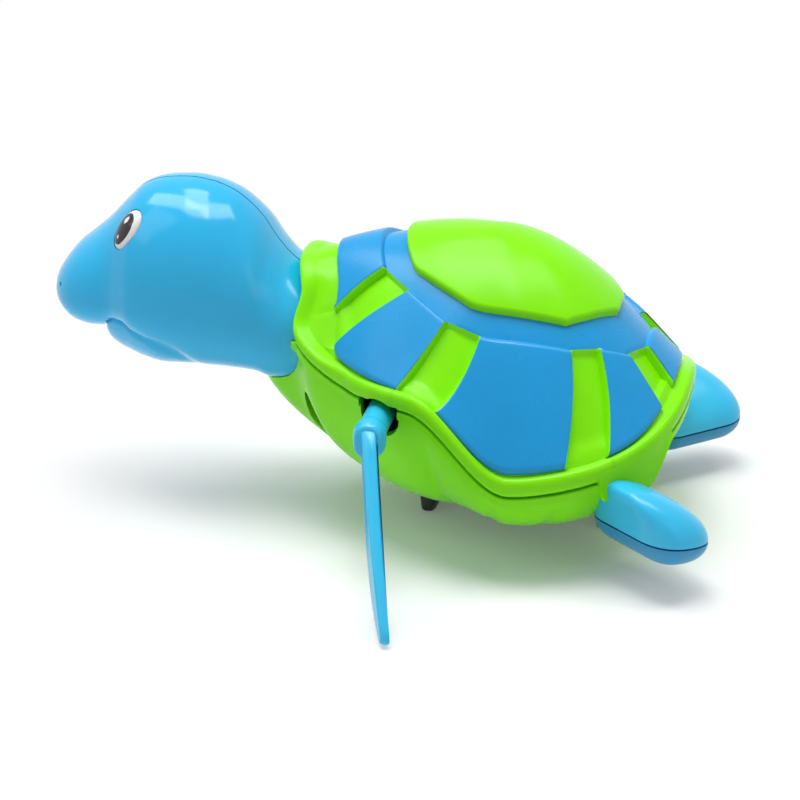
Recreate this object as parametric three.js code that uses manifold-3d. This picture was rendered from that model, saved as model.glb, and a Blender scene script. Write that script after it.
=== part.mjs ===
import * as THREE from "three";
import { mergeVertices } from "three/addons/utils/BufferGeometryUtils.js";
import Module from "manifold-3d";

const wasm = await Module();
wasm.setup();

// All sizes are millimetres. The head points to -X, the tail to +X, the floor is Z = 0.

// Fits and walls
const GAP = 0.3;
const PRESS = 0.15;
const WALL = 1.5;
const HEAD_WALL = 1.3;

// Plan outline of the shell
const SHELL_X = 20;
const SHELL_FRONT = 34.3;
const SHELL_REAR = 26.8;
const SHELL_HALF = 28.5;
const FRONT_POWER = 1.94;
const REAR_POWER = 2.29;

// Dome of the upper shell
const APEX_X = 15.2;
const APEX_Z = 47.4;
const PANEL_RAISE = 0.9;
const SCUTE_RAISE = 1.2;
const SHOULDER = 0.6;

// Rim heights
const RIM_SIDE_Z = 17.5;
const RIM_ARCH_RISE = 10.8;
const RIM_TAIL_RISE = 9;
const COLLAR_RISE = 13.6;
const COLLAR_HALF = 13.8;
const COLLAR_REACH = 0.9;
const CORNER_REACH = 2.7;
const BEAD_R = 1.6;
const LIP_H = 1.3;
const SLIT = 0.45;

// Lower shell
const CHEST_REACH = 9.5;
const CHEST_RISE = 4.5;
const HEEL_X = 35.5;
const HEEL_LENGTH = 5;
const HEEL_WIDTH = 10;

// Front flippers and axle
const AXLE_X = 1.3;
const AXLE_Z = 24.5;
const AXLE_R = 1;
const BOSS_R = 2.2;
const BLADE_REACH = 24;
const BLADE_DROP = 24.1;
const BLADE_SWEEP = 0.335;
const BLADE_ROOT_T = 2.2;
const BLADE_TIP_T = 1.4;

// Rear flippers
const PAD_X = 37;
const PAD_Y = 17.1;
const PAD_LENGTH = 10.4;
const PAD_HALF = 6.7;
const PAD_ANGLE = 28.5;
const PAD_ROOT_Z = 12.6;
const PAD_TIP_Z = 9.6;
const PAD_TOP = 4.4;
const PAD_BOTTOM = 3.2;
const ROOT_FLARE = 1.6;
const PAD_SEAM = 0.5;

// Gear train
const KNOB_X = 5.4;
const MODULE = 0.5;
const GREAT_TEETH = 30;
const PINION_TEETH = 10;
const CROWN_TEETH = 20;
const GEAR_T = 1.6;
const ARBOR_R = 1.5;
const SHAFT_R = 0.8;
const PLATE_T = 1.3;
const SPRING_H = 2.6;
const SPRING_T = 0.35;
const SPRING_TURNS = 4;

// Winding knob
const WING_T = 3;
const WING_LENGTH = 9;
const WING_H = 4.4;
const HUB_R = 2.4;

// Screws
const SCREW_HEAD_R = 1.9;
const SCREW_HEAD_H = 1.4;
const SCREW_R = 0.9;
const SCREW_L = 8;
const NECK_SEAT_Z = 21;

// Head
const SEAM = 0.3;
const NECK_END_X = -8;
const EYE_X = -42.6;
const EYE_Z = 46;
const EYE_W = 2.5;
const EYE_H = 3.7;
const EYE_D = 1.5;
const LIP_STEP = 0.8;

const clamp = (v) => Math.min(1, Math.max(0, v));
const mix = (a, b, t) => a + (b - a) * t;
function ease(a, b, v) {
  const t = clamp((v - a) / (b - a));
  return t * t * (3 - 2 * t);
}
const rad = (deg) => (deg * Math.PI) / 180;

// A solid from an indexed or plain geometry.
function solid(geometry) {
  const bare = new THREE.BufferGeometry();
  bare.setAttribute("position", geometry.getAttribute("position"));
  if (geometry.index) bare.setIndex(geometry.index);
  const merged = mergeVertices(bare, 1e-3);
  const triVerts = new Uint32Array(merged.index.array);
  const vertProperties = new Float32Array(merged.attributes.position.array);
  const made = new wasm.Manifold(new wasm.Mesh({ numProp: 3, vertProperties, triVerts }));
  if (made.volume() >= 0) return made;
  for (let i = 0; i < triVerts.length; i += 3) {
    const keep = triVerts[i + 1];
    triVerts[i + 1] = triVerts[i + 2];
    triVerts[i + 2] = keep;
  }
  return new wasm.Manifold(new wasm.Mesh({ numProp: 3, vertProperties, triVerts }));
}

// Colours and finishes
const PAINTED_SHELL = { color: 0x2f9fd8, roughness: 0.28, metalness: 0 };
const GREEN_SHELL = { color: 0x7cd314, roughness: 0.3, metalness: 0 };
const HEAD_BLUE = { color: 0x2fb2e6, roughness: 0.14, metalness: 0 };
const EYE_WHITE = { color: 0xf5f5f5, roughness: 0.15, metalness: 0 };
const FLIPPER_BLUE = { color: 0x35b9ea, roughness: 0.25, metalness: 0 };
const KNOB_GREY = { color: 0x3a3c40, roughness: 0.5, metalness: 0 };
const GEAR_IVORY = { color: 0xf0ead8, roughness: 0.5, metalness: 0 };
const CASE_WHITE = { color: 0xe6e6e2, roughness: 0.5, metalness: 0 };
const BRIGHT_STEEL = { color: 0xb9bcc0, roughness: 0.35, metalness: 1 };
const SPRING_STEEL = { color: 0x8e9398, roughness: 0.35, metalness: 1 };

const root = new THREE.Group();
root.name = "wind_up_turtle";

function place(name, body, finish) {
  const mesh = body.getMesh();
  const geometry = new THREE.BufferGeometry();
  const step = mesh.numProp;
  const points = new Float32Array(mesh.numVert * 3);
  for (let i = 0; i < mesh.numVert; i += 1) {
    points.set(mesh.vertProperties.subarray(i * step, i * step + 3), i * 3);
  }
  geometry.setAttribute("position", new THREE.BufferAttribute(points, 3));
  geometry.setIndex(new THREE.BufferAttribute(new Uint32Array(mesh.triVerts), 1));
  geometry.computeVertexNormals();
  const part = new THREE.Mesh(geometry, new THREE.MeshStandardMaterial(finish));
  part.name = name;
  root.add(part);
}

// Closed surface from rings of points; the first and last ring are single points.
function ringSolid(rings) {
  const points = [];
  const starts = [];
  for (const ring of rings) {
    starts.push(points.length);
    points.push(...ring);
  }
  const faces = [];
  for (let j = 0; j + 1 < rings.length; j += 1) {
    const n = Math.max(rings[j].length, rings[j + 1].length);
    for (let i = 0; i < n; i += 1) {
      const k = (i + 1) % n;
      const a = starts[j] + (rings[j].length > 1 ? i : 0);
      const b = starts[j] + (rings[j].length > 1 ? k : 0);
      const c = starts[j + 1] + (rings[j + 1].length > 1 ? k : 0);
      const d = starts[j + 1] + (rings[j + 1].length > 1 ? i : 0);
        if (a !== b) faces.push(a, b, c);
      if (c !== d) faces.push(a, c, d);
    }
  }
  const geometry = new THREE.BufferGeometry();
  geometry.setAttribute("position", new THREE.Float32BufferAttribute(points.flat(), 3));
  geometry.setIndex(faces);
  return solid(geometry);
}

// Closed wall between an outer and an inner patch of the same grid size.
function patchSolid(outer, inner) {
  const rows = outer.length;
  const cols = outer[0].length;
  const points = [...outer.flat(), ...inner.flat()];
  const at = (side, i, j) => side * rows * cols + i * cols + j;
  const faces = [];
  const quad = (a, b, c, d) => faces.push(a, b, c, a, c, d);
  for (let i = 0; i + 1 < rows; i += 1) {
    for (let j = 0; j + 1 < cols; j += 1) {
      quad(at(0, i, j), at(0, i + 1, j), at(0, i + 1, j + 1), at(0, i, j + 1));
      quad(at(1, i, j), at(1, i, j + 1), at(1, i + 1, j + 1), at(1, i + 1, j));
    }
    quad(at(0, i, 0), at(1, i, 0), at(1, i + 1, 0), at(0, i + 1, 0));
    quad(at(0, i, cols - 1), at(0, i + 1, cols - 1), at(1, i + 1, cols - 1), at(1, i, cols - 1));
  }
  for (let j = 0; j + 1 < cols; j += 1) {
    quad(at(0, 0, j), at(0, 0, j + 1), at(1, 0, j + 1), at(1, 0, j));
    quad(at(0, rows - 1, j), at(1, rows - 1, j), at(1, rows - 1, j + 1), at(0, rows - 1, j + 1));
  }
  const geometry = new THREE.BufferGeometry();
  geometry.setAttribute("position", new THREE.Float32BufferAttribute(points.flat(), 3));
  geometry.setIndex(faces);
  return solid(geometry);
}

// Upright cylinder between two heights.
function post(x, y, z0, z1, r, segments = 20) {
  const geometry = new THREE.CylinderGeometry(r, r, z1 - z0, segments);
  geometry.rotateX(Math.PI / 2);
  geometry.translate(x, y, (z0 + z1) / 2);
  return solid(geometry);
}

// Cylinder along Y between two stations.
function rod(x, z, y0, y1, r, segments = 20) {
  const geometry = new THREE.CylinderGeometry(r, r, y1 - y0, segments);
  geometry.translate(x, (y0 + y1) / 2, z);
  return solid(geometry);
}

function block(x0, x1, y0, y1, z0, z1) {
  const geometry = new THREE.BoxGeometry(x1 - x0, y1 - y0, z1 - z0);
  geometry.translate((x0 + x1) / 2, (y0 + y1) / 2, (z0 + z1) / 2);
  return solid(geometry);
}

// Plan outline and rim curve; phi is measured about the shell centre, 0 at the tail.
function outlineRadius(phi) {
  const c = Math.cos(phi);
  const s = Math.sin(phi);
  const a = c < 0 ? SHELL_FRONT : SHELL_REAR;
  const n = c < 0 ? FRONT_POWER : REAR_POWER;
  return (Math.abs(c / a) ** n + Math.abs(s / SHELL_HALF) ** n) ** (-1 / n);
}
function outline(phi) {
  const r = outlineRadius(phi);
  return [SHELL_X + r * Math.cos(phi), r * Math.sin(phi)];
}
function halfWidthAt(x) {
  const a = x < SHELL_X ? SHELL_FRONT : SHELL_REAR;
  const n = x < SHELL_X ? FRONT_POWER : REAR_POWER;
  return SHELL_HALF * clamp(1 - Math.abs((x - SHELL_X) / a) ** n) ** (1 / n);
}
function edgeZ(x, y) {
  let z = RIM_SIDE_Z + RIM_ARCH_RISE * (1 - ease(6, 22.5, x));
  if (x > SHELL_X) z += RIM_TAIL_RISE * clamp(1 - Math.hypot(y, 4) / Math.hypot(SHELL_HALF, 4));
  return z;
}
// Arch of the rim over the neck, and how far the collar stands forward of the plan outline.
function collarArch(x, y) {
  return x < 0 ? COLLAR_RISE * clamp(1 - (Math.abs(y) / COLLAR_HALF) ** 2.6) ** 0.6 : 0;
}
function collarReach(x, y) {
  if (x > SHELL_X) return 0;
  const side = Math.abs(y) / COLLAR_HALF;
  return (COLLAR_REACH + CORNER_REACH * ease(0.58, 0.94, side)) * (1 - ease(0.96, 1.45, side));
}
function domeEdgeZ(phi) {
  const [x, y] = outline(phi);
  const neck = x < SHELL_X ? 1 - ease(0, 1.15 * COLLAR_HALF, Math.abs(y)) : 0;
  return edgeZ(x, y) + 0.9 * COLLAR_RISE * neck;
}
// Rim height without its local forms, for the middle of the dome.
function plainEdgeZ(phi) {
  const c = Math.cos(phi);
  const front = Math.max(0, -c) ** 3;
  const rear = Math.max(0, c) ** 3;
  return RIM_SIDE_Z + (RIM_ARCH_RISE + 0.9 * COLLAR_RISE) * front + 0.8 * RIM_TAIL_RISE * rear;
}
function crestZ(phi) {
  const [x, y] = outline(phi);
  return edgeZ(x, y) + collarArch(x, y);
}

// Height of the plain dome over a point given in polar form about the moving centre.
function domePoint(phi, t) {
  const c = Math.cos(phi);
  const front = Math.max(0, -c) ** 2;
  const rear = Math.max(0, c) ** 2;
  const p = 1.86 + 0.14 * front - 0.02 * rear;
  const q = 0.97 + 0.38 * front - 0.12 * rear;
  const r = outlineRadius(phi) * t;
  const edge = mix(plainEdgeZ(phi), domeEdgeZ(phi), clamp(t) ** 2);
  const z = edge + (APEX_Z - edge) * Math.max(0, 1 - Math.abs(t) ** p) ** (1 / q);
  return [mix(APEX_X, SHELL_X, t) + r * c, r * Math.sin(phi), z];
}
// Point on the dome moved along its normal.
function domeOffset(phi, t, lift) {
  const d = 0.01;
  const at = new THREE.Vector3(...domePoint(phi, t));
  const along = new THREE.Vector3(...domePoint(phi, t + d)).sub(new THREE.Vector3(...domePoint(phi, t - d)));
  const round = new THREE.Vector3(...domePoint(phi + d, t)).sub(new THREE.Vector3(...domePoint(phi - d, t)));
  const normal = along.cross(round).normalize();
  if (normal.z < 0) normal.negate();
  return at.addScaledVector(normal, lift).toArray();
}

// Channels between the panels: bearing of each edge at the ring and at the rim, in degrees,
// with the scute corner that each one points to. Given for one side, mirrored for the other.
const CHANNELS = [
  { top: [11, 25], low: [14, 25], corner: [9, 0.66] },
  { top: [38.5, 51.5], low: [53.5, 66.5], corner: [44, 0.545] },
  { top: [98, 115], low: [110, 122], corner: [105, 0.495] },
  { top: [139.5, 156.5], low: [151, 158.5], corner: [150, 0.465] },
];
const RING = 0.12;
const PANEL_COLUMNS = [2, 3, 4, 3, 3];

// Columns run once round the shell; each knows its bearings and whether it carries a panel.
function shellColumns() {
  const edges = [];
  for (const c of CHANNELS) edges.push({ c, k: 0, sign: 1 }, { c, k: 1, sign: 1 });
  const back = [...CHANNELS].reverse();
  for (const c of back) edges.push({ c, k: 1, sign: -1 }, { c, k: 0, sign: -1 });
  const columns = [];
  const counts = [1, 2, 3, 4, 3, 2, 1, 0];
  for (let e = 0; e < edges.length; e += 2) {
    const start = edges[e];
    const stop = edges[e + 1];
    const next = edges[(e + 2) % edges.length];
    columns.push({ from: start, to: start, f: 0, raised: 0 });
    const wide = start.c === CHANNELS[2] || start.c === CHANNELS[3];
    if (wide) columns.push({ from: start, to: stop, f: 0.5, raised: 0 });
    columns.push({ from: stop, to: stop, f: 0, raised: 0 });
    const n = PANEL_COLUMNS[counts[e / 2]];
    columns.push({ from: stop, to: next, f: 0, inset: 1, raised: 1 });
    for (let i = 1; i < n; i += 1) columns.push({ from: stop, to: next, f: i / n, raised: 1 });
    columns.push({ from: stop, to: next, f: 1, inset: -1, raised: 1 });
  }
  return columns;
}
const bearing = (edge, level) => edge.sign * rad(edge.c[level][edge.k]);
function cornerPoint(edge) {
  const spread = (edge.k === 0 ? -1 : 1) * 2.5;
  return [edge.sign * rad(edge.c.corner[0] + spread), edge.c.corner[1]];
}
function wrapMix(a, b, f) {
  let span = b - a;
  if (span < -1e-9) span += 2 * Math.PI;
  return a + span * f;
}
// Edge that follows the dome between two corners.
function polarLine(a, b, f) {
  return [wrapMix(a[0], b[0], f), mix(a[1], b[1], f)];
}
function rimStart(phi) {
  const front = ease(rad(138), rad(170), Math.abs(Math.atan2(Math.sin(phi), Math.cos(phi))));
  const tail = 1 - ease(rad(12), rad(50), Math.abs(Math.atan2(Math.sin(phi), Math.cos(phi))));
  return 0.965 - 0.125 * front - 0.03 * tail;
}
function columnAt(col) {
  const scute = polarLine(cornerPoint(col.from), cornerPoint(col.to), col.f);
  const ringPhi = wrapMix(bearing(col.from, "top"), bearing(col.to, "top"), col.f);
  const a = cornerPoint(col.from);
  const b = cornerPoint(col.to);
  const ring = polarLine(
    [bearing(col.from, "top"), a[1] + RING],
    [bearing(col.to, "top"), b[1] + RING],
    col.f,
  );
  ring[0] = ringPhi;
  const lowPhi = wrapMix(bearing(col.from, "low"), bearing(col.to, "low"), col.f);
  const inset = (col.inset ?? 0) * SHOULDER;
  const shift = (phi, t) => phi + inset / (outlineRadius(phi) * t);
  return {
    scute,
    ring: [shift(ring[0], ring[1]), ring[1]],
    low: [shift(lowPhi, rimStart(lowPhi)), rimStart(lowPhi)],
    raised: col.raised,
  };
}

// Rolled rim: centre of the roll, outward direction, and points round it.
function rimFrame(phi) {
  const [x, y] = outline(phi);
  const d = 1e-3;
  const a = outline(phi - d);
  const b = outline(phi + d);
  const n = new THREE.Vector2(b[1] - a[1], a[0] - b[0]).normalize();
  return { x: x - collarReach(x, y), y, z: crestZ(phi), nx: n.x, ny: n.y };
}
function rimPoint(phi, out, up) {
  const f = rimFrame(phi);
  return [f.x + f.nx * out, f.y + f.ny * out, f.z + up];
}
const BEAD_IN = 0.7 * BEAD_R;

function upperDome() {
  const cols = shellColumns().map(columnAt);
  const rings = [];
  const tScute = (c) => c.scute[1] - SHOULDER / outlineRadius(c.scute[0]);
  const row = (f) => rings.push(cols.map(f));
  rings.push([domeOffset(0, 1e-6, 0).map((v, i) => (i === 2 ? v + SCUTE_RAISE : v))]);
  for (const s of [0.34, 0.7]) row((c) => domeOffset(c.scute[0], tScute(c) * s, SCUTE_RAISE));
  row((c) => domeOffset(c.scute[0], tScute(c), SCUTE_RAISE));
  row((c) => domeOffset(c.scute[0], c.scute[1], 0));
  row((c) => domeOffset(c.ring[0], c.ring[1], 0));
  const along = (c, s) => [mix(c.ring[0], c.low[0], s), mix(c.ring[1], c.low[1], s)];
  const length = (c) => outlineRadius(c.low[0]) * (c.low[1] - c.ring[1]);
  row((c) => domeOffset(...along(c, SHOULDER / length(c)), c.raised * PANEL_RAISE));
  for (const s of [0.36, 0.68]) row((c) => domeOffset(...along(c, s), c.raised * PANEL_RAISE));
  row((c) => domeOffset(...along(c, 1 - SHOULDER / length(c)), c.raised * PANEL_RAISE));
  row((c) => domeOffset(...c.low, 0));
  for (const deg of [64, 0, -70]) {
    const b = rad(deg);
    row((c) => rimPoint(c.low[0], BEAD_R * Math.cos(b) - BEAD_IN, BEAD_R * Math.sin(b)));
  }
  row((c) => rimPoint(c.low[0], -BEAD_IN - WALL, -BEAD_R * 0.95));
  row((c) => {
    const p = domeOffset(c.low[0], c.low[1] - 0.02, -WALL);
    return [p[0], p[1], p[2] - 0.2];
  });
  for (const s of [0.76, 0.42]) row((c) => domeOffset(mix(c.scute[0], c.low[0], s), s, -WALL));
  rings.push([domeOffset(0, 1e-6, 0).map((v, i) => (i === 2 ? v - WALL : v))]);
  return ringSolid(rings);
}

// Belly: keel height along the toy and the bowl between keel and lip.
const KEEL_X = 34;
const KEEL_Z = 2.4;
function keelZ(x) {
  if (x < KEEL_X) return KEEL_Z + 15 * (Math.abs(x - KEEL_X) / 54.5) ** 2.6;
  return KEEL_Z + 9.6 * ((x - KEEL_X) / 12.8) ** 2.2;
}
const BOWL_X = 16;
function lipFrame(phi) {
  const f = rimFrame(phi);
  const chest = f.x < 0 ? clamp(1 - (f.y / (0.92 * COLLAR_HALF)) ** 2) : 0;
  const rise = Math.min(collarArch(f.x, 1.12 * f.y), CHEST_RISE);
  const z = edgeZ(f.x, f.y) + rise - BEAD_R * 0.97 - SLIT;
  return { x: f.x - CHEST_REACH * chest, y: f.y, z, nx: f.nx, ny: f.ny };
}
function lobes(phi) {
  const a = Math.abs(Math.atan2(Math.sin(phi), Math.cos(phi))) * (180 / Math.PI);
  const fade = ease(36, 48, a) * (1 - ease(118, 132, a));
  return -fade * (1 - Math.abs(Math.sin((Math.PI * (a - 91)) / 21.5))) ** 2;
}
function bellyPoint(phi, s, inner) {
  const f = lipFrame(phi);
  const edgeX = f.x - f.nx * (0.9 + inner);
  const edgeY = f.y - f.ny * (0.9 + inner);
  const x = mix(BOWL_X, edgeX, s);
  const y = edgeY * s;
  const top = f.z - LIP_H;
  const fullness = 2.2 + (Math.cos(phi) < 0 ? 4.3 : 2.2) * Math.cos(phi) ** 2;
  const g = 1 - Math.sqrt(Math.max(0, 1 - s ** fullness));
  const flute = inner ? 0 : lobes(phi) * ease(0.4, 0.8, s) * (1 - ease(0.97, 1, s));
  const z = mix(keelZ(x), top, g) + inner * 0.9 * (1 - g);
  return [x + flute * f.nx * 0.8, y + flute * f.ny * 0.8, z];
}
function lowerBowl() {
  const phis = [];
  const N = 36;
  for (let i = 0; i < N; i += 1) {
    phis.push((2 * Math.PI * i) / N);
    if (i === 15 || i === 20) phis.push((2 * Math.PI * (i + 0.5)) / N);
  }
  const rings = [];
  const row = (f) => rings.push(phis.map(f));
  rings.push([[BOWL_X, 0, keelZ(BOWL_X)]]);
  for (const s of [0.34, 0.6, 0.78, 0.9, 1]) row((p) => bellyPoint(p, s, 0));
  const lip = (p, out, up) => {
    const f = lipFrame(p);
    return [f.x + f.nx * out, f.y + f.ny * out, f.z + up];
  };
  row((p) => lip(p, 0.1, -LIP_H + 0.2));
  row((p) => lip(p, 0.1, 0));
  row((p) => lip(p, -0.9 - WALL, 0));
  for (const s of [0.98, 0.62]) row((p) => bellyPoint(p, s, WALL));
  rings.push([[BOWL_X, 0, keelZ(BOWL_X) + WALL]]);
  return ringSolid(rings);
}

// Rear flipper pad: a rounded pad on a slanting seam face. half is 1 above, -1 below; grow is a clearance.
function padPlan(phi, grow) {
  const c = Math.cos(phi);
  const s = Math.sin(phi);
  const r = PAD_HALF + grow;
  const square = (v) => Math.sign(v) * Math.abs(v) ** 0.86;
  const along = c >= 0 ? PAD_LENGTH + r * square(c) : r * c;
  return [along, r * (c >= 0 ? square(s) : s)];
}
function pad(side, half, grow = 0) {
  const a = rad(PAD_ANGLE);
  const rings = [];
  const N = 16;
  const drop = half < 0 ? PAD_SEAM : grow;
  const face = (along) => mix(PAD_ROOT_Z, PAD_TIP_Z, along / PAD_LENGTH) - drop;
  const point = (along, across, z) => [
    PAD_X + along * Math.cos(a) - across * Math.sin(a),
    side * (PAD_Y + along * Math.sin(a) + across * Math.cos(a)),
    z,
  ];
  const depth = (half > 0 ? PAD_TOP : PAD_BOTTOM) + 2 * grow;
  const ring = (inset, level) => {
    const out = [];
    for (let i = 0; i < N; i += 1) {
      const p = padPlan((2 * Math.PI * i) / N, grow - inset);
      out.push(point(p[0], p[1], face(p[0]) + half * level * depth));
    }
    return out;
  };
  rings.push([point(PAD_LENGTH / 2, 0, face(PAD_LENGTH / 2))]);
  rings.push(ring(0, 0));
  rings.push(ring(0.15, 0.3));
  rings.push(ring(1, 0.66));
  rings.push(ring(2.6, 0.9));
  rings.push([point(PAD_LENGTH / 2, 0, face(PAD_LENGTH / 2) + half * depth)]);
  return ringSolid(rings);
}
// Root that hangs from the rim and carries the pad; it widens towards the rim.
const ROOT_TOP = edgeZ(PAD_X, PAD_Y) + 0.6;
function padRoot(side, grow, z0, z1) {
  const a = rad(PAD_ANGLE);
  const section = (z) => {
    const shape = [];
    const up = clamp((z - PAD_ROOT_Z) / (ROOT_TOP - PAD_ROOT_Z));
    const r = PAD_HALF - 1.4 + grow + ROOT_FLARE * up ** 2;
    for (let i = 0; i < 16; i += 1) {
      const phi = (2 * Math.PI * i) / 16;
      const along = r * Math.cos(phi);
      const across = r * Math.sin(phi);
      shape.push([
        PAD_X + along * Math.cos(a) - across * Math.sin(a),
        side * (PAD_Y + along * Math.sin(a) + across * Math.cos(a)),
        z,
      ]);
    }
    return shape;
  };
  const levels = [z0, mix(PAD_ROOT_Z, ROOT_TOP, 0.5), ROOT_TOP, z1];
  const inside = levels.filter((z, i) => i === 0 || (z > levels[0] + 0.01 && z <= z1 && z > levels[i - 1]));
  const middle = (z) => [[PAD_X, side * PAD_Y, z]];
  return ringSolid([middle(z0), ...inside.map(section), middle(z1)]);
}

// Head: stations from the neck to the snout, each with top, bottom, half width and widest level.
const HEAD = [
  [NECK_END_X, 39.6, 23.2, 12.3, 31.2],
  [-16.5, 40.6, 21.8, 11.5, 31.2],
  [-19.6, 43.8, 21, 11.9, 32.4],
  [-22.5, 48, 20.9, 12.6, 34.2],
  [-27, 51.7, 21.1, 13.3, 35.4],
  [-33, 53.3, 21.1, 13.7, 36],
  [-38.5, 52.8, 21.4, 13.5, 35.6],
  [-42.2, 50.4, 22, 12.9, 34.4],
  [-45.2, 46.2, 22.9, 12, 33.4],
  [-49, 42.2, 25.6, 10.1, 33],
  [-53, 39.5, 28.2, 7.6, 33.3],
  [-55.9, 36.8, 30.4, 4.6, 33.5],
  [-56.9, 34.2, 32.6, 0.9, 33.4],
];
// Smooth curve through the stations; s runs 0 to the last station.
function headStation(s) {
  const n = HEAD.length - 1;
  const i = Math.min(n - 1, Math.floor(s));
  const f = s - i;
  const at = (k) => HEAD[Math.min(n, Math.max(0, k))];
  return HEAD[0].map((_, c) => {
    const p0 = at(i - 1)[c];
    const p1 = at(i)[c];
    const p2 = at(i + 1)[c];
    const p3 = at(i + 2)[c];
    const m1 = (p2 - p0) / 2;
    const m2 = (p3 - p1) / 2;
    const f2 = f * f;
    const f3 = f2 * f;
    return (2 * f3 - 3 * f2 + 1) * p1 + (f3 - 2 * f2 + f) * m1 + (3 * f2 - 2 * f3) * p2 + (f3 - f2) * m2;
  });
}
// Level of the mouth line, where the cheek overhangs the jaw.
function mouthZ(x) {
  return 25.9 + 6.3 * ease(-34, -48, x) + 2 * ease(-28, -20, x);
}
// theta 0 is the top seam, 1 the bottom seam.
function headPoint(s, theta, side) {
  const [x, top, bottom, half, mid] = headStation(s);
  const a = Math.PI * theta;
  const c = Math.cos(a);
  const h = c >= 0 ? top - mid : mid - bottom;
  const n = c >= 0 ? 2 : 2.3;
  const y = half * Math.sin(a) ** (2 / n);
  let z = mid + Math.sign(c) * h * Math.abs(c) ** (2 / n);
  let w = y;
  const jaw = ease(mouthZ(x) + 0.35, mouthZ(x) - 0.35, z) * ease(-28, -33, x) * ease(-55.5, -50, x);
  const inward = jaw * LIP_STEP;
  w = Math.max(0, w - inward * clamp(y / 4));
  z += inward * 0.5 * clamp((mid - z) / 6);
  return [x, side * w, z];
}
function headNormal(s, theta, side) {
  const n = HEAD.length - 1;
  const d = 0.02;
  const sub = (a, b) => new THREE.Vector3(a[0] - b[0], a[1] - b[1], a[2] - b[2]);
  const s0 = Math.max(0, s - d);
  const s1 = Math.min(n, s + d);
  const t0 = Math.max(0.004, theta - d);
  const t1 = Math.min(0.996, theta + d);
  const along = sub(headPoint(s1, theta, side), headPoint(s0, theta, side));
  const round = sub(headPoint(s, t1, side), headPoint(s, t0, side));
  const normal = along.cross(round).normalize();
  const [, , , , mid] = headStation(s);
  const p = headPoint(s, theta, side);
  const outward = new THREE.Vector3(p[0] < -50 ? -1 : 0, p[1], p[2] - mid);
  if (normal.dot(outward) < 0) normal.negate();
  return normal;
}
function headHalf(side) {
  const steps = [0, 1, 2, 3, 4, 5, 6, 6.7, 7.4, 8.1, 8.8, 9.5, 10.2, 10.8, 11.4, 12];
  const N = 11;
  const outer = [];
  const inner = [];
  for (const s of steps) {
    const a = [];
    const b = [];
    for (let j = 0; j <= N; j += 1) {
      const theta = j / N;
      const p = headPoint(s, theta, side);
      const n = headNormal(s, theta, side);
      const q = [p[0] - n.x * HEAD_WALL, p[1] - n.y * HEAD_WALL, p[2] - n.z * HEAD_WALL];
      if (s === 0) q[0] = p[0];
      const cut = (v) => (side < 0 ? Math.min(v, -SEAM / 2) : Math.max(v, SEAM / 2));
      p[1] = cut(p[1]);
      q[1] = cut(q[1]);
      a.push(p);
      b.push(q);
    }
    outer.push(a);
    inner.push(b);
  }
  return patchSolid(outer, inner);
}
// Solid plug of the neck, grown by a clearance, that opens the collar and the chest.
function neckPlug(grow) {
  const rings = [];
  const N = 28;
  const ends = [-0.06, 0, 0.5, 1, 2, 2.6, 3.2, 4];
  const ring = (s) => {
    const out = [];
    for (let i = 0; i < N; i += 1) {
      const f = i / N;
      const side = f < 0.5 ? 1 : -1;
      const theta = f < 0.5 ? 2 * f : 2 - 2 * f;
      const base = headPoint(Math.max(0, s), theta, side);
      const n = new THREE.Vector2(base[1], base[2] - headStation(Math.max(0, s))[4]).normalize();
      const back = s < 0 ? -s * 5 : 0;
      out.push([base[0] + back, base[1] + n.x * grow, base[2] + n.y * grow]);
    }
    return out;
  };
  const first = ring(ends[0]);
  const last = ring(ends[ends.length - 1]);
  rings.push([[first[0][0], 0, headStation(0)[4]]]);
  for (const s of ends) rings.push(ring(s));
  rings.push([[last[0][0], 0, headStation(4)[4]]]);
  return ringSolid(rings);
}
// Eye: a flattened ball set in the head, turned to the surface it sits in.
function eyeFrame(side) {
  let best = null;
  for (let s = 5; s < 10; s += 0.05) {
    for (let theta = 0.05; theta < 0.6; theta += 0.01) {
      const p = headPoint(s, theta, side);
      const d = Math.hypot(p[0] - EYE_X, p[2] - EYE_Z);
      if (!best || d < best.d) best = { d, p, n: headNormal(s, theta, side) };
    }
  }
  return best;
}
function eyeBall(side, grow) {
  const { p, n } = eyeFrame(side);
  const geometry = new THREE.SphereGeometry(1, 12, 8);
  geometry.scale(EYE_W + grow, EYE_H + grow, EYE_D + grow);
  const up = new THREE.Vector3(0.35, 0, 1);
  const right = new THREE.Vector3().crossVectors(up, n).normalize();
  const top = new THREE.Vector3().crossVectors(n, right).normalize();
  geometry.applyMatrix4(new THREE.Matrix4().makeBasis(right, top, n));
  geometry.translate(p[0] - n.x * 0.75, p[1] - n.y * 0.75, p[2] - n.z * 0.75);
  return solid(geometry);
}

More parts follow.
